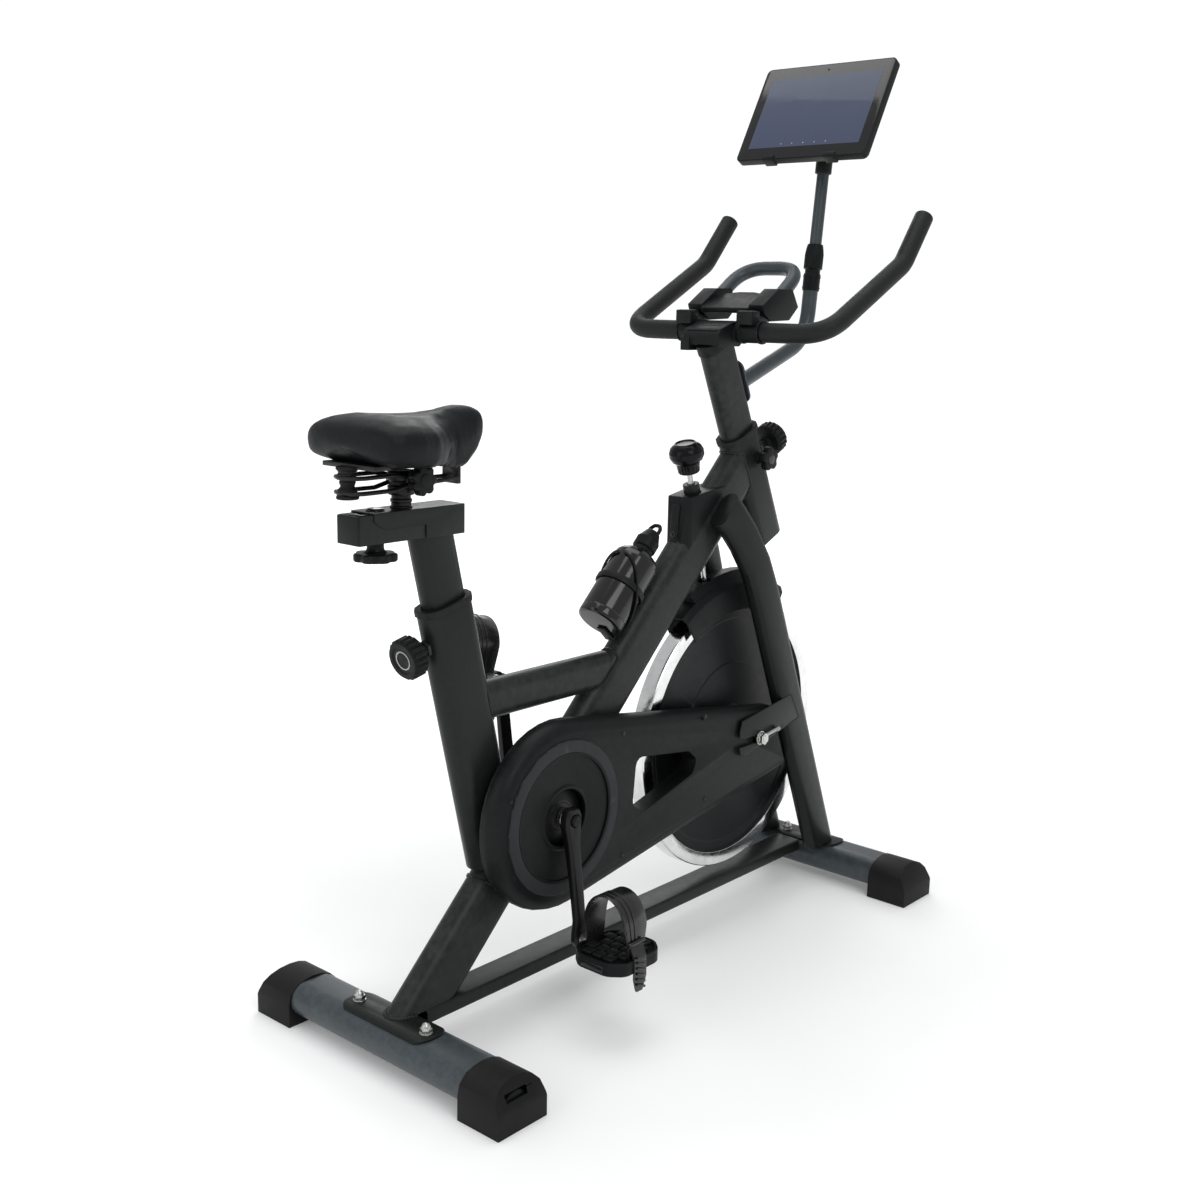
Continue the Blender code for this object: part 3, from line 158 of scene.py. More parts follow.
def eased(points, radius, steps=3, closed=False):
    """The polyline with each corner softened by a short curve, in 2-D or 3-D."""
    made = []
    count = len(points)
    for i, point in enumerate(points):
        corner = Vector(point)
        if not closed and i in (0, count - 1):
            made.append(corner)
            continue
        back = Vector(points[i - 1]) - corner
        ahead = Vector(points[(i + 1) % count]) - corner
        angle = back.angle(ahead)
        if angle > radians(176):
            made.append(corner)
            continue
        reach = min(radius / tan(angle / 2), 0.45 * back.length, 0.45 * ahead.length)
        start = corner + back.normalized() * reach
        end = corner + ahead.normalized() * reach
        for k in range(steps + 1):
            t = k / steps
            made.append(start * (1 - t) ** 2 + corner * 2 * t * (1 - t) + end * t * t)
    return made


# ---------------- materials


class Look:
    """A procedural material, built node by node on the piece's own coordinates."""

    def __init__(self, name):
        self.material = bpy.data.materials.new(name)
        self.material.use_nodes = True
        self.tree = self.material.node_tree
        self.shader = self.tree.nodes["Principled BSDF"]
        self.place = self.add("ShaderNodeTexCoord").outputs["Object"]

    def add(self, kind, inputs=(), **settings):
        made = self.tree.nodes.new(kind)
        for key, value in settings.items():
            setattr(made, key, value)
        for key, value in dict(inputs).items():
            self.put(made.inputs[key], value)
        return made

    def put(self, socket, value):
        if isinstance(value, bpy.types.NodeSocket):
            self.tree.links.new(value, socket)
        else:
            socket.default_value = value

    def noise(self, size, detail=3.0, stretch=None, rough=0.55):
        """Noise whose features are about size millimetres."""
        place = self.place
        if stretch:
            place = self.add("ShaderNodeMapping", {"Vector": place, "Scale": stretch}).outputs[0]
        inputs = {"Vector": place, "Scale": 1 / (size * MM), "Detail": detail, "Roughness": rough}
        return self.add("ShaderNodeTexNoise", inputs).outputs["Fac"]

    def span(self, value, low, high, out_low, out_high):
        inputs = {0: value, 1: low, 2: high, 3: out_low, 4: out_high}
        return self.add("ShaderNodeMapRange", inputs).outputs[0]

    def mix(self, amount, first, second):
        made = self.add("ShaderNodeMix", data_type="RGBA")
        self.put(made.inputs[0], amount)
        self.put(made.inputs[6], first)
        self.put(made.inputs[7], second)
        return made.outputs[2]

    def maths(self, operation, first, second):
        return self.add("ShaderNodeMath", {0: first, 1: second}, operation=operation).outputs[0]

    def bump(self, height, depth, below=None):
        inputs = {"Height": height, "Distance": depth * MM, "Strength": 1.0}
        if below is not None:
            inputs["Normal"] = below
        return self.add("ShaderNodeBump", inputs).outputs[0]

    def set(self, **values):
        for key, value in values.items():
            self.put(self.shader.inputs[key.replace("_", " ")], value)
        return self.material


def shade(colour, by):
    return (*[min(1.0, c * by) for c in colour], 1.0)


def surface(name, colour, rough, metal, grain, depth, mottle, wear, shine, coat):
    """A painted or moulded surface: grain, broad colour drift, dust in the roughness, worn edges."""
    look = Look(name)
    broad = look.noise(90, detail=4.0)
    fine = look.noise(grain, detail=2.0)
    dust = look.noise(14, detail=6.0, rough=0.7)
    dark, light = shade(colour, 1 - mottle), shade(colour, 1 + mottle)
    base = look.mix(look.span(broad, 0.35, 0.65, 0, 1), dark, light)
    specks = look.span(fine, 0.45, 0.75, 0, 0.35)
    base = look.mix(specks, base, shade(colour, 1.6))
    edge = look.add("ShaderNodeNewGeometry").outputs["Pointiness"]
    worn = look.maths("MULTIPLY", look.span(edge, 0.52, 0.62, 0, wear), look.span(dust, 0.4, 0.7, 0.3, 1))
    base = look.mix(worn, base, shade([c + 0.02 for c in colour], 2.2))
    roughness = look.maths("ADD", look.span(dust, 0.3, 0.75, -0.06, 0.08), rough)
    normal = look.bump(fine, depth, look.bump(look.noise(grain * 9, detail=2.0), depth * 1.5))
    finish = {"Specular_IOR_Level": shine, "Coat_Weight": coat, "Coat_Roughness": 0.3}
    return look.set(Base_Color=base, Roughness=roughness, Metallic=metal, Normal=normal, **finish)


def plated(name, colour, rough, stretch):
    """Bare or plated metal, with fine turning or drawing marks and smudges."""
    look = Look(name)
    marks = look.noise(0.6, detail=4.0, stretch=stretch)
    smudge = look.noise(30, detail=6.0, rough=0.7)
    base = look.mix(look.span(smudge, 0.4, 0.7, 0, 1), shade(colour, 1.0), shade(colour, 0.82))
    drawn = look.span(marks, 0.3, 0.7, rough, rough + 0.08)
    roughness = look.maths("ADD", look.span(smudge, 0.35, 0.75, -0.03, 0.12), drawn)
    normal = look.bump(marks, 0.012)
    return look.set(Base_Color=base, Roughness=roughness, Metallic=1.0, Normal=normal)


def leather(name, colour):
    """Black vinyl: pebbled grain with painted shade in its grooves, pores, and soft creases with a painted
    sheen.
    """
    look = Look(name)
    inputs = {"Vector": look.place, "Scale": 1 / (1.6 * MM)}
    cells = look.add("ShaderNodeTexVoronoi", inputs, feature="DISTANCE_TO_EDGE").outputs["Distance"]
    pebble = look.span(cells, 0.0, 0.25, 0, 1)
    crease = look.noise(26, detail=4.0)
    pores = look.noise(0.5, detail=2.0)
    # Painted shade: the grooves between the pebbles are darker than the pebbles' crowns.
    base = look.mix(pebble, shade(colour, 0.55), shade(colour, 1.15))
    # Painted sheen: the vinyl is lighter where the crease noise raises the folds.
    base = look.mix(look.span(crease, 0.45, 0.7, 0, 0.35), base, shade(colour, 1.5))
    raised = look.span(pebble, 0, 1, 0.52, 0.4)
    roughness = look.maths("ADD", look.span(crease, 0.3, 0.7, -0.05, 0.1), raised)
    normal = look.bump(pebble, 0.05, look.bump(pores, 0.015, look.bump(crease, 0.25)))
    return look.set(Base_Color=base, Roughness=roughness, Normal=normal, Specular_IOR_Level=0.16)


def foam(name, colour):
    """Closed-cell foam: small pits darkened by painted shade, matt, faintly uneven."""
    look = Look(name)
    inputs = {"Vector": look.place, "Scale": 1 / (0.9 * MM)}
    pits = look.add("ShaderNodeTexVoronoi", inputs).outputs["Distance"]
    broad = look.noise(35, detail=4.0)
    # Painted shade: the foam is darker in its pits, away from each cell's centre.
    base = look.mix(look.span(pits, 0.1, 0.7, 0, 1), shade(colour, 1.35), shade(colour, 0.7))
    base = look.mix(look.span(broad, 0.4, 0.7, 0, 0.4), base, shade(colour, 1.6))
    normal = look.bump(pits, -0.03, look.bump(broad, 0.15))
    roughness = look.span(broad, 0.3, 0.7, 0.5, 0.62)
    return look.set(Base_Color=base, Roughness=roughness, Normal=normal, Specular_IOR_Level=0.22)


def screen(name):
    """A tablet's dark-blue standby screen under glass, with finger smears; its glow and its lighter top are
    painted light.
    """
    look = Look(name)
    height = look.add("ShaderNodeSeparateXYZ", {0: look.place}).outputs[2]
    smears = look.noise(25, detail=5.0, stretch=(1, 0.5, 1))
    # Painted light: the screen's colour gets lighter towards the top.
    tint = look.mix(look.span(height, 1.28, 1.43, 0, 1), (0.050, 0.058, 0.095, 1), (0.060, 0.070, 0.098, 1))
    roughness = look.span(smears, 0.45, 0.7, 0.06, 0.2)
    # Painted glow: the screen gives off its own colour as light.
    values = {"Emission_Color": tint, "Emission_Strength": 0.26, "Specular_IOR_Level": 0.12}
    return look.set(Base_Color=tint, Roughness=roughness, Normal=look.bump(smears, 0.004), **values)


# Colour, roughness, metal, grain and bump depth (mm), mottle, edge wear, reflection and coat.
SURFACES = {
    "frame_paint": ((0.0075, 0.0098, 0.0088), 0.38, 0.1, 0.45, 0.010, 0.05, 0.5, 0.16, 0.05),
    "blue_grey_paint": ((0.034, 0.043, 0.048), 0.36, 0.2, 0.45, 0.010, 0.05, 0.5, 0.3, 0.08),
    "black_paint": ((0.004, 0.004, 0.0045), 0.34, 0, 0.5, 0.010, 0.06, 0.5, 0.22, 0),
    "black_plastic": ((0.0038, 0.0044, 0.0048), 0.44, 0, 0.6, 0.02, 0.1, 0.5, 0.14, 0),
    "ring_plastic": ((0.018, 0.020, 0.022), 0.58, 0, 0.5, 0.04, 0.08, 0.5, 0.22, 0),
    "gloss_plastic": ((0.005, 0.005, 0.006), 0.12, 0, 3.0, 0.003, 0.05, 0.5, 0.45, 0),
    "knob_gloss": ((0.003, 0.003, 0.004), 0.16, 0, 3.0, 0.003, 0.05, 0.5, 0.14, 0),
    "rubber": ((0.005, 0.005, 0.0055), 0.6, 0, 0.8, 0.03, 0.1, 0.6, 0.18, 0),
    "strap_rubber": ((0.006, 0.006, 0.007), 0.24, 0, 0.8, 0.006, 0.1, 0.2, 0.5, 0),
    "disc_paint": ((0.004, 0.005, 0.0058), 0.4, 0, 1.4, 0.04, 0.1, 0.5, 0.2, 0),
    "mark_paint": ((0.35, 0.35, 0.35), 0.6, 0, 0.8, 0.02, 0.12, 0.5, 0.5, 0),
}
LOOKS = {name: surface(name, *values) for name, values in SURFACES.items()}
LOOKS["foam"] = foam("foam", (0.0075, 0.008, 0.0085))
LOOKS["chrome"] = plated("chrome", (0.80, 0.80, 0.80), 0.06, (0.15, 1, 1))
LOOKS["steel"] = plated("steel", (0.55, 0.55, 0.53), 0.22, (1, 1, 0.2))
LOOKS["vinyl"] = leather("vinyl", (0.0042, 0.0052, 0.0062))
LOOKS["screen"] = screen("screen")


# ---------------- shapes

SHARP_ANGLE, ROUND_ANGLE, FLAT_ANGLE = radians(38), radians(32), radians(1.5)


def finish_mesh(name, mesh):
    mesh.shade_smooth()
    mesh.set_sharp_from_angle(angle=SHARP_ANGLE)
    obj = bpy.data.objects.new(name, mesh)
    bpy.context.scene.collection.objects.link(obj)
    return obj


def skin(name, rings, loop=False):
    """Quads between rings of equal length, given in metres."""
    count = len(rings[0])
    faces = []
    for i in range(len(rings) if loop else len(rings) - 1):
        a = i * count
        b = (i + 1) % len(rings) * count
        faces += [(a + k, a + (k + 1) % count, b + (k + 1) % count, b + k) for k in range(count)]
    if not loop:
        faces.append(tuple(range(count)))
        faces.append(tuple(range((len(rings) - 1) * count, len(rings) * count)))
    mesh = bpy.data.meshes.new(name)
    mesh.from_pydata([point for ring in rings for point in ring], [], faces)
    bm = bmesh.new()
    bm.from_mesh(mesh)
    bmesh.ops.recalc_face_normals(bm, faces=bm.faces)
    bm.to_mesh(mesh)
    bm.free()
    return finish_mesh(name, mesh)


def prism(name, outline, low, high, place, edge=0.0):
    """An outline drawn along its frame's Z; edge rounds both rims by insetting the end rings."""
    levels = [(low, 0.0), (high, 0.0)]
    if edge:
        turn = [(edge * (1 - cos(radians(a))), edge * (1 - sin(radians(a)))) for a in (0, 30, 60, 90)]
        levels = [(low + z, inset) for z, inset in turn] + [(high - z, inset) for z, inset in turn[::-1]]
    rings = []
    for z, inset in levels:
        ring = []
        for i, point in enumerate(outline):
            point = Vector(point)
            ahead = Vector(outline[(i + 1) % len(outline)]) - Vector(outline[i - 1])
            out = Vector((ahead.y, -ahead.x)).normalized()
            flat = point - out * inset
            ring.append(place @ (Vector((flat.x, flat.y, z)) * MM))
        rings.append(ring)
    return skin(name, rings)


def lathe(name, profile, place, steps=64, ease=0.8, ribs=None, loop=False):
    """A profile of (radius, height) turned about its frame's Z. ribs is (count, depth, low, high)."""
    line = eased(profile, ease, closed=loop) if ease else [Vector(p) for p in profile]
    rings = []
    for radius, height in line:
        ring = []
        for i in range(steps):
            a = 2 * pi * i / steps
            r = max(radius, 0.02)
            if ribs and ribs[2] < height < ribs[3]:
                fade = min(1, (height - ribs[2]) / 1.5, (ribs[3] - height) / 1.5)
                r -= ribs[1] * fade * (0.5 - 0.5 * cos(ribs[0] * a)) ** 2
            ring.append(place @ (Vector((r * cos(a), r * sin(a), height)) * MM))
        rings.append(ring)
    return skin(name, rings, loop=loop)


def tube(name, line, radius, sides=28, section=None, place=None, dome=0.0, loop=False, ripple=None):
    """A round bar, or a section of (across, up) points, swept along a line; radius may be a list."""
    points = [Vector(p) for p in line]
    radii = radius if isinstance(radius, list) else [radius] * len(points)
    if dome:
        ends = []
        for end, beyond in ((0, 1), (-1, -2)):
            out = (points[end] - points[beyond]).normalized()
            tip, wide = points[end], radii[end]
            angles = (0, 0.5, 1.0, 1.35, pi / 2)
            ends.append([(tip + out * dome * (sin(a) - 1), wide - dome * (1 - cos(a))) for a in angles])
        points = [p for p, r in ends[0][::-1]] + points[1:-1] + [p for p, r in ends[1]]
        radii = [r for p, r in ends[0][::-1]] + radii[1:-1] + [r for p, r in ends[1]]
    rings = []
    up = None
    count = len(points)
    for i, point in enumerate(points):
        ahead = points[(i + 1) % count] if loop or i < count - 1 else point
        back = points[i - 1] if loop or i else point
        along = (ahead - back).normalized()
        if up is None:
            up = Vector((0, 0, 1)) if abs(along.z) < 0.9 else Vector((1, 0, 0))
        up = (up - along * up.dot(along)).normalized()
        across = along.cross(up)
        r = radii[i] if ripple is None else radii[i] * (1 + ripple[1] * sin(ripple[0] * i))
        shape = section or [(cos(2 * pi * k / sides), sin(2 * pi * k / sides)) for k in range(sides)]
        scale = 1.0 if section else r
        ring = [point + across * a * scale + up * b * scale for a, b in shape]
        rings.append([(place @ (p * MM)) if place else p * MM for p in ring])
    return skin(name, rings, loop=loop)


def slab(name, outlines, low, high, place, edge=0.8):
    """Outlines filled and drawn from low to high with rounded rims; all but the first are holes."""
    curve = bpy.data.curves.new(name, "CURVE")
    curve.dimensions = "2D"
    curve.fill_mode = "BOTH"
    curve.extrude = ((high - low) / 2 - edge) * MM
    curve.bevel_depth = edge * MM
    curve.bevel_resolution = 2
    curve.offset = -edge * MM
    for outline in outlines:
        spline = curve.splines.new("POLY")
        spline.points.add(len(outline) - 1)
        for point, (x, y) in zip(spline.points, outline):
            point.co = (x * MM, y * MM, 0, 1)
        spline.use_cyclic_u = True
    holder = bpy.data.objects.new(name + "_curve", curve)
    bpy.context.scene.collection.objects.link(holder)
    graph = bpy.context.evaluated_depsgraph_get()
    mesh = bpy.data.meshes.new_from_object(holder.evaluated_get(graph))
    bpy.data.objects.remove(holder)
    bpy.data.curves.remove(curve)
    bm = bmesh.new()
    bm.from_mesh(mesh)
    bmesh.ops.remove_doubles(bm, verts=bm.verts, dist=0.00001)
    bm.to_mesh(mesh)
    bm.free()
    mesh.transform(place @ shift(0, 0, (low + high) / 2))
    mesh.name = name
    return finish_mesh(name, mesh)


def block(name, size, place, edge=1.0):
    """A block with rounded edges and corners."""
    bm = bmesh.new()
    bmesh.ops.create_cube(bm, size=1.0)
    bmesh.ops.scale(bm, vec=Vector(size) * MM, verts=bm.verts)
    bmesh.ops.bevel(bm, geom=bm.edges[:], offset=edge * MM, segments=3, profile=0.5, affect="EDGES")
    mesh = bpy.data.meshes.new(name)
    bm.to_mesh(mesh)
    bm.free()
    mesh.transform(place)
    return finish_mesh(name, mesh)


def show(obj, body, slot, stands_for=(), look=None):
    """Gives a piece its material and its body, and hides the CAD nodes it stands for."""
    obj.data.materials.clear()
    obj.data.materials.append(LOOKS[look or slot])
    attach(obj, body)
    if stands_for:
        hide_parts(*stands_for)
    return obj


def dressed(node, edge=0.9, look=None, merge=True):
    """A CAD node's shape with its edges rounded. Merging its flat faces can close a window in them."""
    name = f"{node}_finish"
    bm = bmesh.new()
    bm.from_mesh(frame["nodes"][node].data)
    bmesh.ops.remove_doubles(bm, verts=bm.verts, dist=0.00002)
    if merge:
        bmesh.ops.dissolve_limit(bm, angle_limit=FLAT_ANGLE, verts=bm.verts, edges=bm.edges)
    mesh = bpy.data.meshes.new(name)
    bm.to_mesh(mesh)
    bm.free()
    obj = bpy.data.objects.new(name, mesh)
    bpy.context.scene.collection.objects.link(obj)
    rounding = obj.modifiers.new("rounding", "BEVEL")
    rounding.width = edge * MM
    rounding.segments = 3
    rounding.limit_method = "ANGLE"
    rounding.angle_limit = ROUND_ANGLE
    rounding.use_clamp_overlap = False
    graph = bpy.context.evaluated_depsgraph_get()
    made = bpy.data.meshes.new_from_object(obj.evaluated_get(graph))
    bpy.data.objects.remove(obj)
    made.name = name
    return show(finish_mesh(name, made), BODY_OF[node], SLOT_OF[node], (node,), look)


def carried(node, look=None):
    """A CAD node shown as it is, with its finished material."""
    obj = frame["nodes"][node]
    obj.data.materials.clear()
    obj.data.materials.append(LOOKS[look or SLOT_OF[node]])


def weld(name, outline, place, targets, start, toward):
    """A rippled bead where a tube's outline, carried along its axis, first meets the targets."""
    trees = []
    for target in targets:
        corners = [v.co for v in target.data.vertices]
        trees.append(BVHTree.FromPolygons(corners, [p.vertices for p in target.data.polygons]))
    aim = (place.to_3x3() @ Vector((0, 0, toward))).normalized()
    line = []
    for u, v in outline:
        origin = place @ (Vector((u, v, start)) * MM)
        hits = [tree.ray_cast(origin, aim) for tree in trees]
        near = [hit for hit in hits if hit[0] is not None]
        if near:
            line.append(min(near, key=lambda hit: hit[3])[0] / MM)
    if len(line) < 6:
        return None
    fine = []
    for i, point in enumerate(line):
        after = line[(i + 1) % len(line)]
        steps = max(1, int((after - point).length / 1.3))
        fine += [point.lerp(after, k / steps) for k in range(steps)]
    whole = len(line) == len(outline)
    obj = tube(name, fine if whole else fine[:-1], 2.3, sides=8, loop=whole, ripple=(1.9, 0.16))
    return show(obj, "frame", "frame_paint")


# ---------------- frame


def painted_tube(node, outline, low, high, place, edge=0.0, floor=None, look=None):
    """A tube's finished skin; floor is the height its lower end is cut level at."""
    obj = prism(f"{node}_finish", outline, low, high, place, edge)
    if floor is not None:
        axis = place.to_3x3() @ Vector((0, 0, 1))
        for vertex in obj.data.vertices:
            if (place.inverted() @ vertex.co).z / MM < low + 1:
                vertex.co += axis * ((floor * MM - vertex.co.z) / axis.z)
    return show(obj, BODY_OF[node], SLOT_OF[node], (node,), look)


def build_frame():
    top_place = at(0, 0, 481.5, 90)
    painted_tube("main_tube", oval(*MAIN_SECTION, -0.15), -612, 385, MAIN, floor=66.0)
    painted_tube("seat_tube", oval(*MAIN_SECTION), -385, 4, SEAT, 0.6)
    painted_tube("top_tube", oval(*TOP_SECTION), -345, -60, top_place)
    painted_tube("head_tube", oval(*HEAD_SECTION), -211, -16, HEAD, 0.6)
    for end, x in (("rear", REAR_X), ("front", FRONT_X)):
        painted_tube(f"{end}_stabiliser", oval(*STAB_SECTION), -220, 220, sideways(x, STAB_Z))
    for node in ("bottom_beam", "fork_leg_left", "fork_leg_right", "seat_tube_bush", "head_tube_bush"):
        dressed(node, 0.8)
    for node in ("rear_foot_plate", "front_foot_plate"):
        dressed(node, 0.5)
    for end in ("rear", "front"):
        for hand in ("left", "right"):
            dressed(f"{end}_cap_{hand}", 0.9)
    for hand in ("left", "right"):
        dressed(f"transport_wheel_{hand}", 0.8)
    dressed("crank_shell", 0.5)
    welds(top_place)
    nuts()


def welds(top_place):
    nodes = frame["nodes"]
    main = [nodes["main_tube"]]
    weld("weld_seat_to_main", oval(*MAIN_SECTION, 0.8), SEAT, main, -60, -1)
    weld("weld_top_to_main", oval(*TOP_SECTION, 0.8), top_place, main, -180, 1)
    weld("weld_top_to_seat", oval(*TOP_SECTION, 0.8), top_place, [nodes["seat_tube"]], -180, -1)
    weld("weld_main_to_plate", oval(*MAIN_SECTION, 0.8), MAIN, [nodes["rear_foot_plate"]], -520, -1)
    weld("weld_main_to_head", oval(*MAIN_SECTION, 0.8), MAIN, [nodes["head_tube"]], 250, 1)


def acorn_nut(name, x, y, z):
    """A washer, a hexagon and a polished dome on a foot-plate stud."""
    place = at(x, y, z)
    washer = lathe(f"{name}_washer", [(0, -1), (9.2, -1), (9.2, 1.7), (0, 1.7)], place, 32, 0.4)
    show(washer, "frame", "steel")
    hexagon = slab(f"{name}_hex", [circle(8.3, 6)], 1.5, 8.0, place @ spun(12), 0.7)
    show(hexagon, "frame", "steel")
    dome = [(6.6, 7.6), (6.1, 10.5), (4.6, 13.2), (2.4, 14.9), (0, 15.4)]
    show(lathe(f"{name}_dome", dome, place, 32, 0), "frame", "steel")


def nuts():
    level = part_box("rear_foot_plate")[1][2] / MM - 15.0
    for side in (1, -1):
        hand = "left" if side > 0 else "right"
        acorn_nut(f"rear_nut_{hand}", REAR_X - 1.7, side * 69, level)
        acorn_nut(f"front_nut_{hand}", FRONT_X - 8, side * 24, level)


# ---------------- drive


def build_guard():
    """The belt covers, with a lighter band round the crank, a moulded hub and screws."""
    guard = dressed("belt_guard_outer", 0.5, merge=False)
    guard.data.materials.append(LOOKS["ring_plastic"])
    for face in guard.data.polygons:
        reach = hypot(face.center.x / MM - CRANK.x, face.center.z / MM - CRANK.z)
        if face.center.y < -68.6 * MM and 94 < reach < 118:
            face.material_index = 1
    carried("belt_guard_inner")
    centre = sideways(CRANK.x, CRANK.z)
    band = [(97.6, 69.4), (97.6, 71.0), (114.0, 71.0), (115.0, 69.4)]
    ring = lathe("guard_ring_band", band, centre, 96, 0.4, loop=True)
    show(ring, "frame", "black_plastic", look="ring_plastic")
    rim = [(93.6, 67.2), (93.6, 70.6), (97.0, 70.9), (97.0, 67.2)]
    show(lathe("guard_ring_lip", rim, centre, 96, 0.5, loop=True), "frame", "black_plastic")
    step = [(43, 62), (43, 69.2), (46.5, 69.6), (50.5, 67.2), (50.5, 62)]
    show(lathe("guard_hub_lip", step, centre, 72, 0.6, loop=True), "frame", "black_plastic")
    collar = [(19.6, 38), (19.6, 60.5), (42.4, 56.0), (42.4, 38)]
    show(lathe("guard_hub_dish", collar, centre, 64, 1.0, loop=True), "frame", "black_plastic")
    for i, (x, z) in enumerate(GUARD_SCREWS):
        screw(f"guard_screw_{i}", sideways(x, z), GUARD_FACE - 0.2)


def screw(name, place, level):
    """A low screw head in a shallow ring."""
    head = [(0, level - 1), (3.6, level - 1), (3.6, level + 0.6), (2.6, level + 0.9), (0, level + 1.0)]
    show(lathe(name, head, place, 24, 0.3), "frame", "steel", look="black_paint")
    ring = [(3.9, level - 0.5), (3.9, level + 0.5), (5.4, level + 0.4), (5.6, level - 0.5)]
    show(lathe(f"{name}_seat", ring, place, 28, 0.3, loop=True), "frame", "black_plastic")


def build_flywheel():
    """A plated rim round a painted disc with turned steps, and its bolts."""
    place = sideways(WHEEL.x, WHEEL.z)
    radius, inner, half = 235.5, 212.5, 15.0
    rim = [(inner, -half), (radius - 1.5, -half), (radius, -half + 1.5)]
    rim += [(r, -z) for r, z in rim[::-1]]
    show(lathe("flywheel_rim", rim, place, 144, 0.5, loop=True), "wheel", "chrome", ("flywheel",))
    disc = [(inner + 0.5, half - 1.6), (inner - 4, 8.4), (196, 7.6), (194, 6.8), (120, 6.8), (118, 8.2)]
    disc += [(46, 8.2), (44, 10), (34, 12), (30, 20), (28, 34.5), (8, 34.5)]
    back = [(r, -z) for r, z in disc[::-1]]
    plate = lathe("flywheel_disc", disc + back, place, 112, 0.8, loop=True)
    show(plate, "wheel", "chrome", look="disc_paint")
    for i in range(6):
        spot = place @ spun(60 * i + 12) @ shift(36)
        for side, level in (("near", 9.5), ("far", -14.5)):
            bolt = slab(f"flywheel_bolt_{side}_{i}", [circle(5.2, 6)], level, level + 5, spot, 0.6)
            show(bolt, "wheel", "steel")


def build_cranks():
    for side, hand in ((1, "left"), (-1, "right")):
        dressed(f"crank_arm_{hand}", 1.0)
        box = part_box(f"crank_arm_{hand}")
        face = abs(box[1][1] if side > 0 else box[0][1]) / MM
        inboard = 37 if side > 0 else 0
        place = sideways(CRANK.x, CRANK.z, 0, right=side < 0)
        cap = [(0, 92.4), (6, 92.2), (8.6, 91), (9, 88), (9, 84), (0, 84)]
        cap = [(r, y - inboard) for r, y in cap]
        show(lathe(f"crank_cap_{hand}", cap, place, 40, 0.6), "crank", "black_plastic")
        collar = [(10.4, 73), (15.5, 73), (15.5, 66), (10.4, 66)]
        collar = [(r, y - inboard) for r, y in collar]
        show(lathe(f"crank_collar_{hand}", collar, place, 40, 0.6, loop=True), "crank", "steel")
        eye = place @ shift(0, -CRANK_LENGTH)
        nut = slab(f"pedal_spindle_{hand}", [circle(7.4, 6)], face - 11 + 9.6, face + 1.6, eye, 0.5)
        show(nut, "crank", "steel")


def pedal_place(side):
    hand = "left" if side > 0 else "right"
    point = joint_point(f"pedal_{hand}_spin")
    return at(point.x, point.y, point.z, 12.0 if side > 0 else 0.0)


def build_pedal(side):
    """A rounded deck with a raised rim, staggered tread blocks and reflectors."""
    hand = "left" if side > 0 else "right"
    body = f"{hand}_pedal"
    place = pedal_place(side)
    deck = place @ shift(0, side * PEDAL_OUT)
    corners = [(-54, -26), (-36, -48), (36, -48), (54, -26), (54, 26), (36, 48), (-36, 48), (-54, 26)]
    outline = eased(corners, 22, 6, closed=True)
    inner = [tuple(p * 0.92) for p in outline]
    slots = []
    for end in (1, -1):
        y = end * 38.2
        slots.append([(-26.6, y - 1.9), (18.6, y - 1.9), (18.6, y + 1.9), (-26.6, y + 1.9)])
    tray = slab(f"pedal_{hand}_deck", [outline] + slots, -11, 5.5, deck, 1.6)
    show(tray, body, "black_plastic", (f"pedal_{hand}",))
    show(slab(f"pedal_{hand}_rim", [outline, inner], 3, 8.8, deck, 0.9), body, "black_plastic")
    count = 0
    pitch_x, pitch_y = 18.4, 19.0
    for i in range(-2, 3):
        for j in range(-2, 3):
            x = i * pitch_x
            y = j * pitch_y + (pitch_y / 2 if i % 2 else 0)
            if abs(y) > 31 or abs(x) + abs(y) > 60:
                continue
            tread = block(f"pedal_{hand}_tread_{count}", (15.4, 16.4, 6.4), deck @ shift(x, y, 8.2), 1.6)
            show(tread, body, "black_plastic")
            count += 1
    outward = place @ spun(-90 * side, "X")
    boss = [(0, -12), (6, -12), (6, 2), (11.5, 2), (11.5, 22), (6, 22), (0, 22)]
    boss = lathe(f"pedal_{hand}_boss", boss, outward, 40, 0.8)
    show(boss, body, "black_plastic", look="steel")
    for end in (1, -1):
        spot = deck @ shift(end * 53.2, 0, -2.5)
        light = block(f"pedal_{hand}_reflector_{end}", (3.0, 40, 9.5), spot, 1.0)
        show(light, body, "gloss_plastic")


def band_section(x_low, x_high, thick, ridges, reach=1.0):
    """A strap's section, across the band and out from it, ridged over the reach share of its width."""
    section = [(x_high, 0.0), (x_low, 0.0), (x_low, thick * 0.75), (x_low + 0.8, thick)]
    width = (x_high - x_low) * reach
    for i in range(ridges):
        middle = x_low + width * (i + 0.5) / ridges
        half = width / ridges * 0.26
        section += [(middle - half - 0.5, thick), (middle - half, thick + 1.1)]
        section += [(middle + half, thick + 1.1), (middle + half + 0.5, thick)]
    return section + [(x_high - 0.8, thick), (x_high, thick * 0.75)]


def edged_section(x_low, x_high, thick):
    """A strap's cross-section with a raised lip along each edge."""
    lip = thick + 1.3
    return [
        (x_high, 0.0), (x_low, 0.0), (x_low, lip), (x_low + 2.0, lip), (x_low + 2.6, thick),
        (x_high - 2.6, thick), (x_high - 2.0, lip), (x_high, lip),
    ]


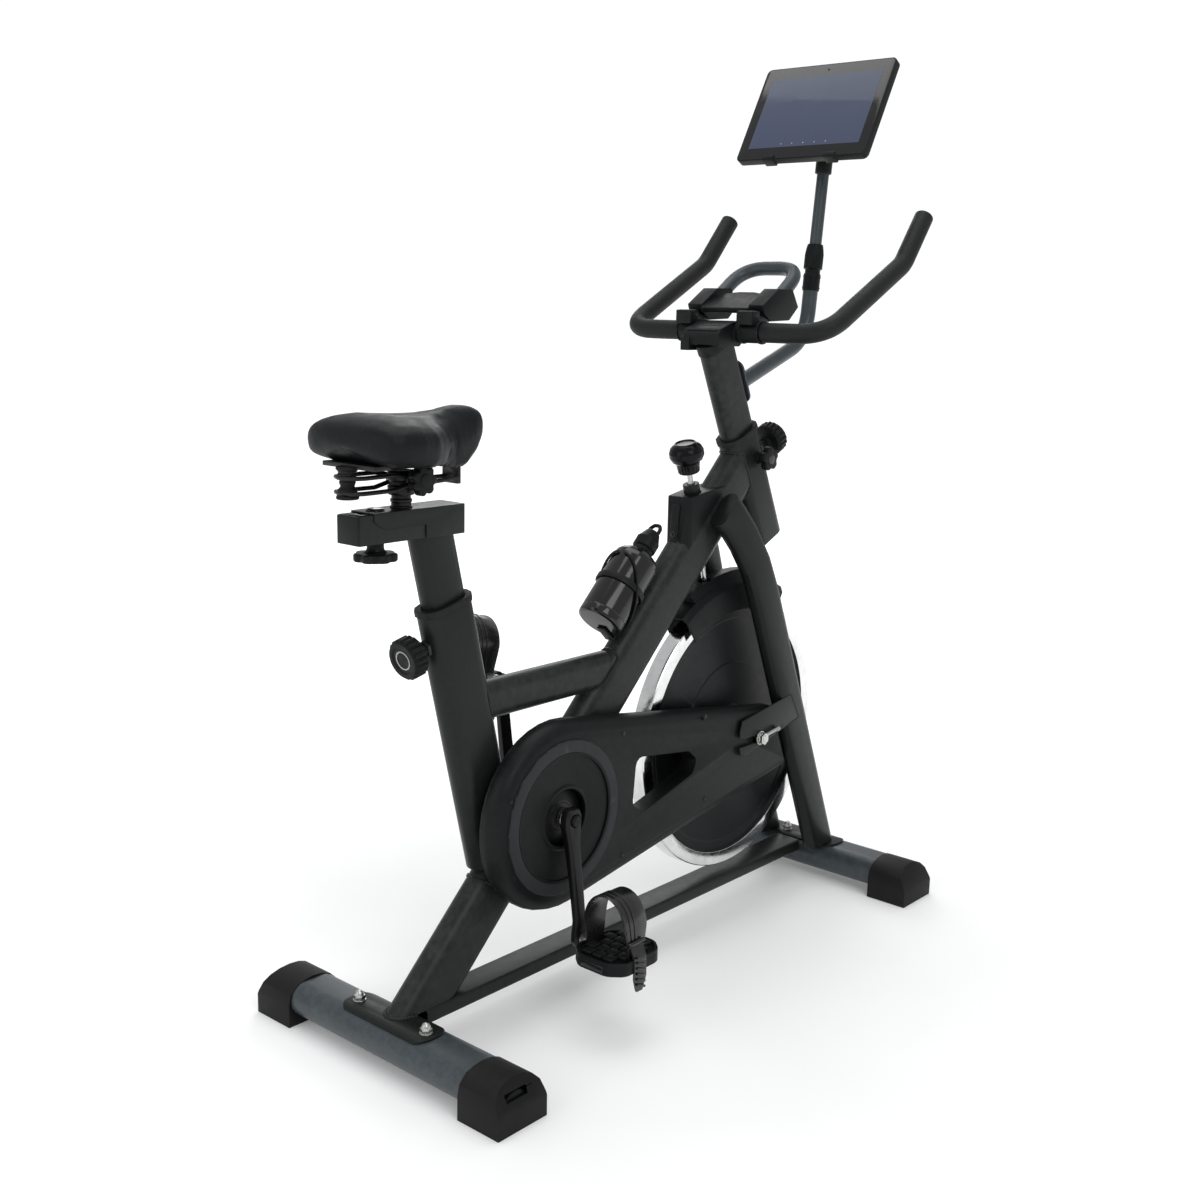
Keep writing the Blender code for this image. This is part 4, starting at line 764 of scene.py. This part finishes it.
def build_strap(side):
    """A ridged rubber band over the foot, with a lipped, ribbed tail down the outer rim."""
    hand = "left" if side > 0 else "right"
    body = f"{hand}_pedal"
    deck = pedal_place(side) @ shift(0, side * PEDAL_OUT)
    half, high, spring = 37.0, 91.0, 45.0

    def ring(angle_or_leg):
        """The band's point across and up, and the way out from it, on the bow or on a leg."""
        kind, value = angle_or_leg
        if kind == "bow":
            a = radians(value)
            return side * half * cos(a), spring + (high - spring) * sin(a), side * cos(a), sin(a)
        return side * half * value[0], value[1], side * value[0], 0.0

    stations = [("leg", (1, z)) for z in range(-8, 44, 8)] + [("bow", a) for a in range(0, 181, 6)]
    stations += [("leg", (-1, z)) for z in range(40, -10, -8)]
    rings = []
    for station in stations:
        y, z, out_y, out_z = ring(station)
        narrow = max(0.0, min(1.0, (spring + 6 - z) / 34))
        inner_leg = station[0] == "leg" and station[1][0] < 0
        trim = narrow * (9 if not inner_leg else 7)
        section = band_section(-29 + trim, 19 - trim * 0.6, 1.9, 3, 0.56)
        rings.append([deck @ (Vector((x, y + out_y * r, z + out_z * r)) * MM) for x, r in section])
    strap = skin(f"pedal_strap_{hand}_band", rings)
    show(strap, body, "rubber", (f"pedal_strap_{hand}",), "strap_rubber")
    foot = block(f"pedal_strap_{hand}_foot", (43, 77.5, 2.4), deck @ shift(-4, 0, -13.6), 0.8)
    show(foot, body, "rubber", look="strap_rubber")
    path = [(38.6, 34), (44, 22), (49.6, 10), (50.3, 0), (50.3, -20), (49.5, -38), (49.3, -40)]
    line = eased(path, 10, 4)
    rings = []
    for i, (y, z) in enumerate(line):
        ahead = line[min(i + 1, len(line) - 1)] - line[max(i - 1, 0)]
        out = Vector((-ahead.y, ahead.x)).normalized() * (1 if ahead.y < 0 else -1)
        point = max(0.0, (-28 - z) / 12)
        wide = 13.0 * (1 - 0.55 * min(1, point))
        section = edged_section(-7 - wide, -7 + wide, 1.7)
        rings.append([deck @ (Vector((x, side * (y - out.x * r), z - out.y * r)) * MM) for x, r in section])
    show(skin(f"pedal_strap_{hand}_tail", rings), body, "rubber", look="strap_rubber")
    for i in range(6):
        spot = deck @ shift(-7, side * 51.8, -31 + 8.2 * i) @ spun(22, "Y")
        rib = block(f"pedal_strap_{hand}_rib_{i}", (19, 2.4, 3.6), spot, 0.7)
        show(rib, body, "rubber", look="strap_rubber")
    spot = deck @ shift(-7, side * 41.5, 29) @ spun(side * -24, "X")
    buckle = block(f"pedal_strap_{hand}_keeper", (33, 5.2, 9), spot, 1.4)
    show(buckle, body, "rubber", look="strap_rubber")


def build_drive():
    build_guard()
    build_flywheel()
    build_cranks()
    for side in (1, -1):
        build_pedal(side)
        build_strap(side)
    dressed("flywheel_fender", 1.0)
    dressed("brake_cover", 1.4)
    dressed("flywheel_axle", 0.3)
    dressed("crank_spindle", 0.3, look="black_paint")
    carried("crank_pulley", "black_paint")
    for node in ("flywheel_pulley", "drive_belt"):
        carried(node)


# ---------------- knobs


def build_brake():
    body = "brake"
    rod = [(0, -166), (4.3, -166), (4.3, 40), (0, 40)]
    show(lathe("brake_rod_shaft", rod, BRAKE, 32, 0.4), body, "steel", ("brake_rod",))
    nut = [(0, 12), (6.2, 12), (6.2, 20), (0, 20)]
    show(lathe("brake_rod_nut", nut, BRAKE, 6, 0.3), body, "steel")
    sleeve = [(5.2, -26), (13.4, -26), (13.4, 15.6), (5.2, 15.6)]
    show(lathe("brake_sleeve", sleeve, BRAKE, 48, 0.9, loop=True), "frame", "frame_paint")
    place = BRAKE @ shift(0, 0, 2) @ spun(90, "X") @ spun(12, "Y")
    socket = [(0, 12), (3.0, 12), (3.0, 15.4), (1.6, 15.4), (1.2, 14.2), (0, 14.2)]
    show(lathe("brake_set_screw", socket, place, 24, 0.3), "frame", "steel", look="black_paint")
    spine = at(107.5, 0, 688, 5.6)
    show(block("brake_cover_spine", (5, 15, 62), spine @ shift(-1.2), 1.9), "frame", "black_plastic")
    hole = spine @ shift(-3.4, 0, -16) @ spun(-90, "Y")
    cup = [(0, -0.2), (2.6, -0.2), (3.4, 1.2), (5.2, 1.2), (5.2, -1)]
    show(lathe("brake_cover_screw", cup, hole, 32, 0.3), "frame", "gloss_plastic")
    holder = [(0, -184), (9, -184), (9, -166), (5, -164), (0, -164)]
    show(lathe("brake_pad_holder", holder, BRAKE, 32, 0.6), body, "steel")
    show(block("brake_pad_block", (44, 24, 12), BRAKE @ shift(0, 0, -186), 1.5), body, "rubber")
    profile = [(0, 82.2), (13.6, 82.4), (15.2, 83.6), (19.5, 82), (25.0, 77), (28, 70), (28, 62.5)]
    profile += [(24.5, 55.5), (19.5, 51.5), (18.2, 44), (17.4, 36), (15.6, 34.5), (4.6, 34.5)]
    knob = lathe("brake_knob_grip", profile, BRAKE, 96, 1.6, ribs=(16, 1.2, 35.5, 50.5))
    show(knob, "brake_grip", "gloss_plastic", ("brake_knob",), "knob_gloss")
    ring = [(15.4, 81.5), (15.4, 84.6), (17.4, 84.2), (17.4, 81.0)]
    ring = lathe("brake_knob_ring", ring, BRAKE, 64, 0.5, loop=True)
    show(ring, "brake_grip", "gloss_plastic", look="knob_gloss")


def pull_knob(node, body, place, face, radius, neck):
    """A ribbed, cupped pull knob on a stepped sleeve, with a printed ring and a nut."""
    rise = face + neck
    cup = [(0, rise + 23.4), (radius * 0.62, rise + 23.4), (radius * 0.66, rise + 24.8)]
    rim = [(radius - 4, rise + 25), (radius, rise + 21), (radius, rise + 4), (radius - 5, rise)]
    foot = [(11, rise - 3), (11, rise - 8), (0, rise - 8)]
    ribs = (20, 2.4, rise + 1, rise + 23)
    grip = lathe(f"{node}_grip", cup + rim + foot, place, 120, 1.2, ribs=ribs)
    show(grip, body, "black_plastic", (node,))
    sleeve = [(0, face), (10.6, face), (10.6, face + 3), (9.4, face + 4), (9.4, rise - 8), (0, rise - 8)]
    show(lathe(f"{node}_sleeve", sleeve, place, 40, 0.5), body, "steel", look="black_paint")
    nut = slab(f"{node}_nut", [circle(12.6, 6)], face + 0.3, face + 6, place, 0.8)
    show(nut, body, "steel", look="black_paint")
    inner, outer, low, high = radius * 0.40, radius * 0.46, rise + 23.2, rise + 23.8
    mark = [(inner, low), (inner, high), (outer, high), (outer, low)]
    mark = lathe(f"{node}_mark", mark, place, 64, 0.1, loop=True)
    show(mark, body, "black_plastic", look="mark_paint")


def build_knobs():
    pull_knob("seat_knob", "seat_pin", SEAT_PIN, 43.3, 29, 19)
    pull_knob("post_knob", "post_pin", POST_PIN, 40.3, 28, 30)
    head = slab("clamp_knob_head", [lobed(20, 4, 5, 16)], 35, 47.4, SIDE_CLAMP, 2.4)
    show(head, "side_clamp", "black_plastic", ("clamp_knob",))
    neck = [(0, 22.3), (10.5, 22.3), (8.6, 27), (10, 35.4), (0, 35.4)]
    show(lathe("clamp_knob_neck", neck, SIDE_CLAMP, 40, 0.8), "side_clamp", "black_plastic")
    cap = slab("clamp_knob_cap", [circle(8.5, 40)], 46.6, 48.0, SIDE_CLAMP, 0.5)
    show(cap, "side_clamp", "gloss_plastic")
    place = at(SLIDER_KNOB_X)
    wheel = slab("slider_knob_wheel", [lobed(28.5, 4, 7, 14)], 702, 713, place, 3.0)
    show(wheel, "slider_clamp", "black_plastic", ("slider_knob",))
    neck = [(0, 712), (17, 712), (12, 716), (11, 719), (11, 726.6), (0, 726.6)]
    show(lathe("slider_knob_neck", neck, place, 48, 0.8), "slider_clamp", "black_plastic")
    boss = slab("slider_knob_boss", [circle(13)], 699.8, 702.6, place, 1.0)
    show(boss, "slider_clamp", "black_plastic")


# ---------------- saddle


def build_saddle():
    pad = frame["nodes"]["saddle_pad"]
    mesh = pad.data.copy()
    mesh.name = "saddle_cushion"
    obj = bpy.data.objects.new("saddle_cushion", mesh)
    bpy.context.scene.collection.objects.link(obj)
    remesh = obj.modifiers.new("remesh", "REMESH")
    remesh.mode = "VOXEL"
    remesh.voxel_size = 0.0042
    soften = obj.modifiers.new("soften", "SMOOTH")
    soften.iterations = 10
    soften.factor = 0.5
    apply_modifiers(obj)
    puff(obj, 0.0045)
    creases(obj)
    divide = obj.modifiers.new("divide", "SUBSURF")
    divide.levels = divide.render_levels = 1
    apply_modifiers(obj)
    obj.data.shade_smooth()
    show(obj, "saddle", "vinyl", ("saddle_pad",))
    saddle_hardware()


def apply_modifiers(obj):
    graph = bpy.context.evaluated_depsgraph_get()
    made = bpy.data.meshes.new_from_object(obj.evaluated_get(graph))
    obj.modifiers.clear()
    obj.data = made


def puff(obj, cap):
    """Swells the pad a little under pressure, moving no point further than cap metres."""
    rest = [v.co.copy() for v in obj.data.vertices]
    cloth = obj.modifiers.new("cloth", "CLOTH")
    cloth.settings.use_pressure = True
    cloth.settings.uniform_pressure_force = 3.0
    cloth.settings.effector_weights.gravity = 0.0
    cloth.settings.tension_stiffness = 25
    cloth.settings.compression_stiffness = 25
    steps = 20
    cloth.point_cache.frame_start = 1
    cloth.point_cache.frame_end = steps
    scene = bpy.context.scene
    for step in range(1, steps + 1):
        scene.frame_set(step)
    apply_modifiers(obj)
    scene.frame_set(1)
    for vertex, start in zip(obj.data.vertices, rest):
        move = vertex.co - start
        if move.length > cap:
            vertex.co = start + move.normalized() * cap


def creases(obj):
    """Gathers the cover in short creases at the flanks and presses a shallow channel along the top."""
    low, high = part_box("saddle_pad")
    flank_z, flank_reach, top_z = 0.862, 0.018, 0.868
    for vertex in obj.data.vertices:
        x, y, z = vertex.co
        along = (x - low[0]) / (high[0] - low[0])
        side = min(1.0, abs(y) / 0.05)
        flank = max(0.0, 1 - abs(z - flank_z) / flank_reach)
        ripple = sin(along * 95 + 2.2 * sin(along * 23)) * 0.5 + sin(along * 41 + y * 60) * 0.5
        inward = 0.0009 * ripple * flank * side * (1 if 0.1 < along < 0.9 else 0.3)
        vertex.co.y -= inward * (1 if y > 0 else -1)
        dip = 0.0035 * max(0.0, 1 - (y / 0.012) ** 2) * max(0.0, 1 - abs(along - 0.42) / 0.34)
        if z > top_z:
            vertex.co.z -= dip


def saddle_hardware():
    dressed("saddle_frame", 0.6)
    bumper = [(0, 826), (14, 826), (14.6, 823), (11, 819), (13, 815), (9, 811), (10.5, 806), (8.6, 801)]
    bumper += [(13, 796), (11, 792), (14.6, 788), (14, 785), (0, 785)]
    show(lathe("saddle_bumper_ribs", bumper, at(BUMPER_X), 48, 1.6), "saddle", "rubber")
    pin = at(SADDLE_PIN_X)
    clamp = [(11.2, 784), (16.5, 784), (17.5, 787), (17.5, 795), (15.2, 797), (15.2, 801)]
    clamp += [(17.8, 803), (17.8, 812), (15.5, 815.5), (11.2, 815.5)]
    show(lathe("saddle_clamp_rings", clamp, pin, 56, 0.8, loop=True), "carriage", "black_paint")
    sleeve = [(10.6, 766.6), (14.5, 766.6), (14.5, 769), (13.0, 770), (13.0, 774)]
    sleeve += [(14.2, 775), (14.2, 778), (12.6, 779.5), (12.6, 784.5), (10.6, 784.5)]
    show(lathe("saddle_pin_sleeve", sleeve, pin, 48, 0.5, loop=True), "carriage", "black_paint")
    pivot = sideways(-457, 804.5)
    knob = slab("saddle_tilt_knob", [lobed(20, 3.6, 7, 12)], 26.5, 41, pivot, 3.0)
    show(knob, "saddle", "black_plastic")
    cap = slab("saddle_tilt_knob_cap", [circle(9, 40)], 40.2, 42.2, pivot, 0.9)
    show(cap, "saddle", "black_plastic")
    button = [(0, 766.2), (12.2, 766.2), (12.2, 768.2), (9.5, 770), (0, 770.6)]
    show(lathe("carriage_button", button, at(SLIDER_KNOB_X), 48, 1.2), "carriage", "gloss_plastic")
    plug = block("seat_box_plug", (4.6, 41.4, 36.8), at(-549.2, 0, 745.7), 1.6)
    show(plug, "seat_mast", "black_plastic")
    dressed("seat_post", 0.8)
    dressed("saddle_carriage", 0.8)


# ---------------- handlebar


def bar_line(side, start=0.0):
    corners = [(BAR_X, start, BAR_Z), (BAR_X, side * 195, BAR_Z)]
    corners += [(423.5, side * 198, 1100), (488.5, side * 195, 1178)]
    return eased(corners, 62, 12)


def loop_line():
    half = [(225.7, -60, 1000.3), (262, -60, 1030), (347, -58, 1091)]
    return eased(half + [(x, -y, z) for x, y, z in half[::-1]], 70, 14)


def build_bars():
    left, right = bar_line(1), bar_line(-1)
    bar = tube("handlebar_tube", right[:0:-1] + left[1:], BAR_R - 0.3, 32)
    show(bar, "bar_mast", "steel", ("handlebar",))
    for side, hand in ((1, "left"), (-1, "right")):
        sleeve = tube(f"grip_{hand}_foam", bar_line(side, side * 80), GRIP_R, 40, dome=2.5)
        show(sleeve, "bar_mast", "foam", (f"grip_{hand}",))
    hoop = tube("bar_loop_tube", loop_line(), 11.5, 32)
    show(hoop, "bar_mast", "blue_grey_paint", ("bar_loop",))
    painted_tube("handlebar_post", oval(*POST_SECTION), -158, 147, HEAD, look="frame_paint")
    dressed("bar_tray", 1.6)
    dressed("stem", 1.4)
    for i, y in enumerate((-60, 60)):
        clip = block(f"stem_clip_top_{i}", (23, 31, 12), at(198.5, y, 1016.2), 4.5)
        show(clip, "bar_mast", "black_plastic")
    for i, y in enumerate((-79, -44, 44, 79)):
        band = [(15.8, -2), (18.3, -2), (18.3, 2), (15.8, 2)]
        ring = lathe(f"stem_ring_{i}", band, sideways(BAR_X, BAR_Z, y), 48, 0.7, loop=True)
        show(ring, "bar_mast", "black_plastic")
    for i in range(3):
        place = at(160.5 + 9 * i, 0, 991.5 + 3.2 * i, -20)
        ridge = block(f"stem_ridge_{i}", (3.0, 62 - 6 * i, 2.4), place, 0.9)
        show(ridge, "bar_mast", "black_plastic")


def build_mast():
    corner = MAST @ Vector((0, 0, -74 * MM)) / MM
    top = MAST @ Vector((0, 0, 37 * MM)) / MM
    line = eased([(265.8, 0, 905.9), tuple(corner), tuple(top)], 95, 18)
    show(tube("mast_lower_tube", line, 12.75, 36), "bar_mast", "blue_grey_paint", ("mast_lower",))
    pad = HEAD @ shift(POST_SECTION[0] / 2 + 0.3, 0, 66) @ spun(90, "Y")
    show(slab("mast_lower_pad", [oval(76, 30)], 0, 4, pad, 0.8), "bar_mast", "blue_grey_paint")
    profile = [(10.7, 87), (13, 87), (14.6, 80), (16, 70), (16, 46), (13, 44.5), (12.9, 39), (14.5, 36)]
    profile += [(14.5, 9), (13.1, 9), (13.1, 37.4), (10.7, 37.6)]
    collar = lathe("mast_collar_grip", profile, MAST, 96, 0.9, ribs=(18, 1.3, 47, 72), loop=True)
    show(collar, "mast_lock", "black_plastic", ("mast_collar",))
    for i, level in enumerate((13, 31)):
        ring = [(14.3, level), (15.3, level + 0.4), (15.3, level + 2.2), (14.3, level + 2.6)]
        ring = lathe(f"mast_collar_ring_{i}", ring, MAST, 64, 0.3, loop=True)
        show(ring, "mast_lock", "black_plastic")
    upper = [(0, -30), (10.25, -30), (10.25, 226), (0, 226)]
    upper = lathe("mast_upper_tube", upper, MAST, 48, 0.5)
    show(upper, "mast_slider", "blue_grey_paint", ("mast_upper",))


def build_tablet():
    dressed("tablet_holder", 0.9)
    dressed("tablet", 1.2)
    width, height = 254.0, 182.0
    flat = TABLET @ spun(-90, "Y")
    glass = eased(rectangle(height / 2 - 2, width / 2 - 2), 9, 6, closed=True)
    glass = slab("tablet_bezel_glass", [glass], -0.4, 0.25, flat, 0.15)
    show(glass, "tablet_body", "gloss_plastic")
    # The screen piece carries the painted glow.
    lit = eased(rectangle(68, 108.5), 1.0, 2, closed=True)
    lit = slab("tablet_screen", [lit], 0.1, 0.45, flat, 0.1)
    show(lit, "tablet_body", "gloss_plastic", look="screen")
    camera = slab("tablet_camera", [circle(2.2, 24)], 0.1, 0.5, flat @ shift(79), 0.1)
    show(camera, "tablet_body", "gloss_plastic", look="ring_plastic")
    for i in range(5):
        spot = flat @ shift(-62, 22 * (2 - i))
        dot = slab(f"tablet_mark_{i}", [circle(1.0, 12)], 0.3, 0.55, spot, 0.05)
        show(dot, "tablet_body", "gloss_plastic", look="mark_paint")
    for side in (1, -1):
        spot = flat @ shift(-height / 2 + 3.5, side * 60, 1.9)
        lip = block(f"tablet_clip_lip_{side}", (7, 22, 3), spot, 1.1)
        show(lip, "tablet_body", "black_plastic")


# ---------------- bottle


def build_bottle():
    r = BOTTLE_R
    shell = [(0, 0), (r - 5, 0), (r - 1, 1.5), (r, 5), (r, 14), (r - 0.7, 15), (r, 16), (r, 114)]
    shell += [(r - 1.5, 121), (r - 6, 128), (22, 134), (18, 137), (0, 137)]
    shell = lathe("bottle_shell", shell, BOTTLE, 96, 1.5)
    show(shell, "bottle", "gloss_plastic", ("water_bottle",))
    lid = [(0, 134), (17.6, 134), (17.6, 140), (16.2, 141), (16.2, 143), (18.8, 144.5), (18.8, 160)]
    lid += [(17, 163), (12, 175), (10, 177), (0, 178)]
    lid = lathe("bottle_lid", lid, BOTTLE, 90, 0.8, ribs=(24, 1.1, 145, 160))
    show(lid, "bottle", "black_plastic")
    hoop = [(0, -10, 168), (0, -10, 184), (0, -5, 191), (0, 5, 191), (0, 10, 184), (0, 10, 168)]
    show(tube("bottle_hoop", eased(hoop, 6, 5), 3, 20, place=BOTTLE), "bottle", "black_plastic")


def build_cage():
    dressed("bottle_cage", 0.6)
    radius = BOTTLE_R + 1.8 + 0.6
    for index, (low, high, start) in enumerate(((20, 108, 20), (108, 20, 190))):
        line = []
        for i in range(25):
            t = i / 24
            a = radians(start + 150 * t)
            rise = low + (high - low) * (3 * t * t - 2 * t ** 3)
            line.append((radius * cos(a), radius * sin(a), rise))
        section = [(cos(2 * pi * k / 16) * 3.4, sin(2 * pi * k / 16) * 2.0) for k in range(16)]
        show(tube(f"cage_arm_{index}", line, 3.0, section=section, place=BOTTLE), "frame", "black_plastic")


# ---------------- room


FLOOR_REACH_M = 40.0
GLOW_FROM_TO_M, GLOW_LEVELS = (0.5, 3.0), (0.12, 0.62)
WORLD_LIGHT, WORLD_SEEN = 0.60, 1.05
CAMERA_PLACE_M = (-1.69455, -1.41695, 1.03035)
CAMERA_TURN = (-48.90, 11.54, -1.18)


def build_room():
    """A white floor whose glow rises away from the bike, a white world and four soft lights."""
    mesh = bpy.data.meshes.new("floor")
    corners = [(x, y, 0) for x, y in rectangle(FLOOR_REACH_M, FLOOR_REACH_M)]
    mesh.from_pydata(corners, [], [(0, 1, 2, 3)])
    floor = bpy.data.objects.new("floor", mesh)
    bpy.context.scene.collection.objects.link(floor)
    look = Look("floor")
    drift = look.noise(600, detail=4.0)
    tint = look.mix(look.span(drift, 0.4, 0.6, 0, 1), (0.84, 0.84, 0.84, 1), (0.87, 0.87, 0.87, 1))
    distance = look.add("ShaderNodeVectorMath", {0: look.place}, operation="LENGTH")
    glow = look.span(distance.outputs["Value"], *GLOW_FROM_TO_M, *GLOW_LEVELS)
    values = {"Emission_Color": (1, 1, 1, 1), "Emission_Strength": glow, "Specular_IOR_Level": 0.2}
    mesh.materials.append(look.set(Base_Color=tint, Roughness=0.7, **values))
    world = bpy.data.worlds.new("studio")
    bpy.context.scene.world = world
    world.use_nodes = True
    sky = world.node_tree.nodes["Background"]
    sky.inputs[0].default_value = (0.98, 0.99, 1.0, 1)
    path = world.node_tree.nodes.new("ShaderNodeLightPath")
    level = world.node_tree.nodes.new("ShaderNodeMapRange")
    level.inputs[3].default_value = WORLD_LIGHT
    level.inputs[4].default_value = WORLD_SEEN
    world.node_tree.links.new(path.outputs["Is Camera Ray"], level.inputs[0])
    world.node_tree.links.new(level.outputs[0], sky.inputs[1])
    bpy.context.scene.view_settings.view_transform = "Standard"
    lights = (
        ("key", (-1.6, -3.4, 3.6), 2.4, 55),
        ("fill", (-3.8, 0.8, 2.2), 2.4, 22),
        ("top", (0.3, 0.4, 4.2), 3.0, 60),
        ("back", (3.0, 2.8, 2.6), 2.0, 30),
    )
    for name, place, size, power in lights:
        lamp = bpy.data.lights.new(name, "AREA")
        lamp.size = size
        lamp.energy = power
        holder = bpy.data.objects.new(name, lamp)
        holder.location = place
        aim = Vector((0, 0, 0.6)) - Vector(place)
        holder.rotation_euler = aim.to_track_quat("-Z", "Y").to_euler()
        bpy.context.scene.collection.objects.link(holder)


def build_camera():
    azimuth, elevation, roll = [radians(angle) for angle in CAMERA_TURN]
    back = Vector((sin(azimuth) * cos(elevation), -cos(azimuth) * cos(elevation), sin(elevation)))
    right = Vector((0, 0, 1)).cross(back).normalized()
    up = back.cross(right)
    turned_right = right * cos(roll) - up * sin(roll)
    turned_up = right * sin(roll) + up * cos(roll)
    data = bpy.data.cameras.new("camera")
    data.lens = 43.72
    data.sensor_width = 36.0
    data.clip_end = 60.0
    camera = bpy.data.objects.new("camera", data)
    turn = Matrix((turned_right, turned_up, back)).transposed().to_4x4()
    camera.matrix_world = Matrix.Translation(CAMERA_PLACE_M) @ turn
    bpy.context.scene.collection.objects.link(camera)
    bpy.context.scene.camera = camera


def main():
    build_camera()
    build_room()
    build_frame()
    build_drive()
    build_brake()
    build_knobs()
    build_saddle()
    build_bars()
    build_mast()
    build_tablet()
    build_bottle()
    build_cage()
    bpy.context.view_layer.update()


main()
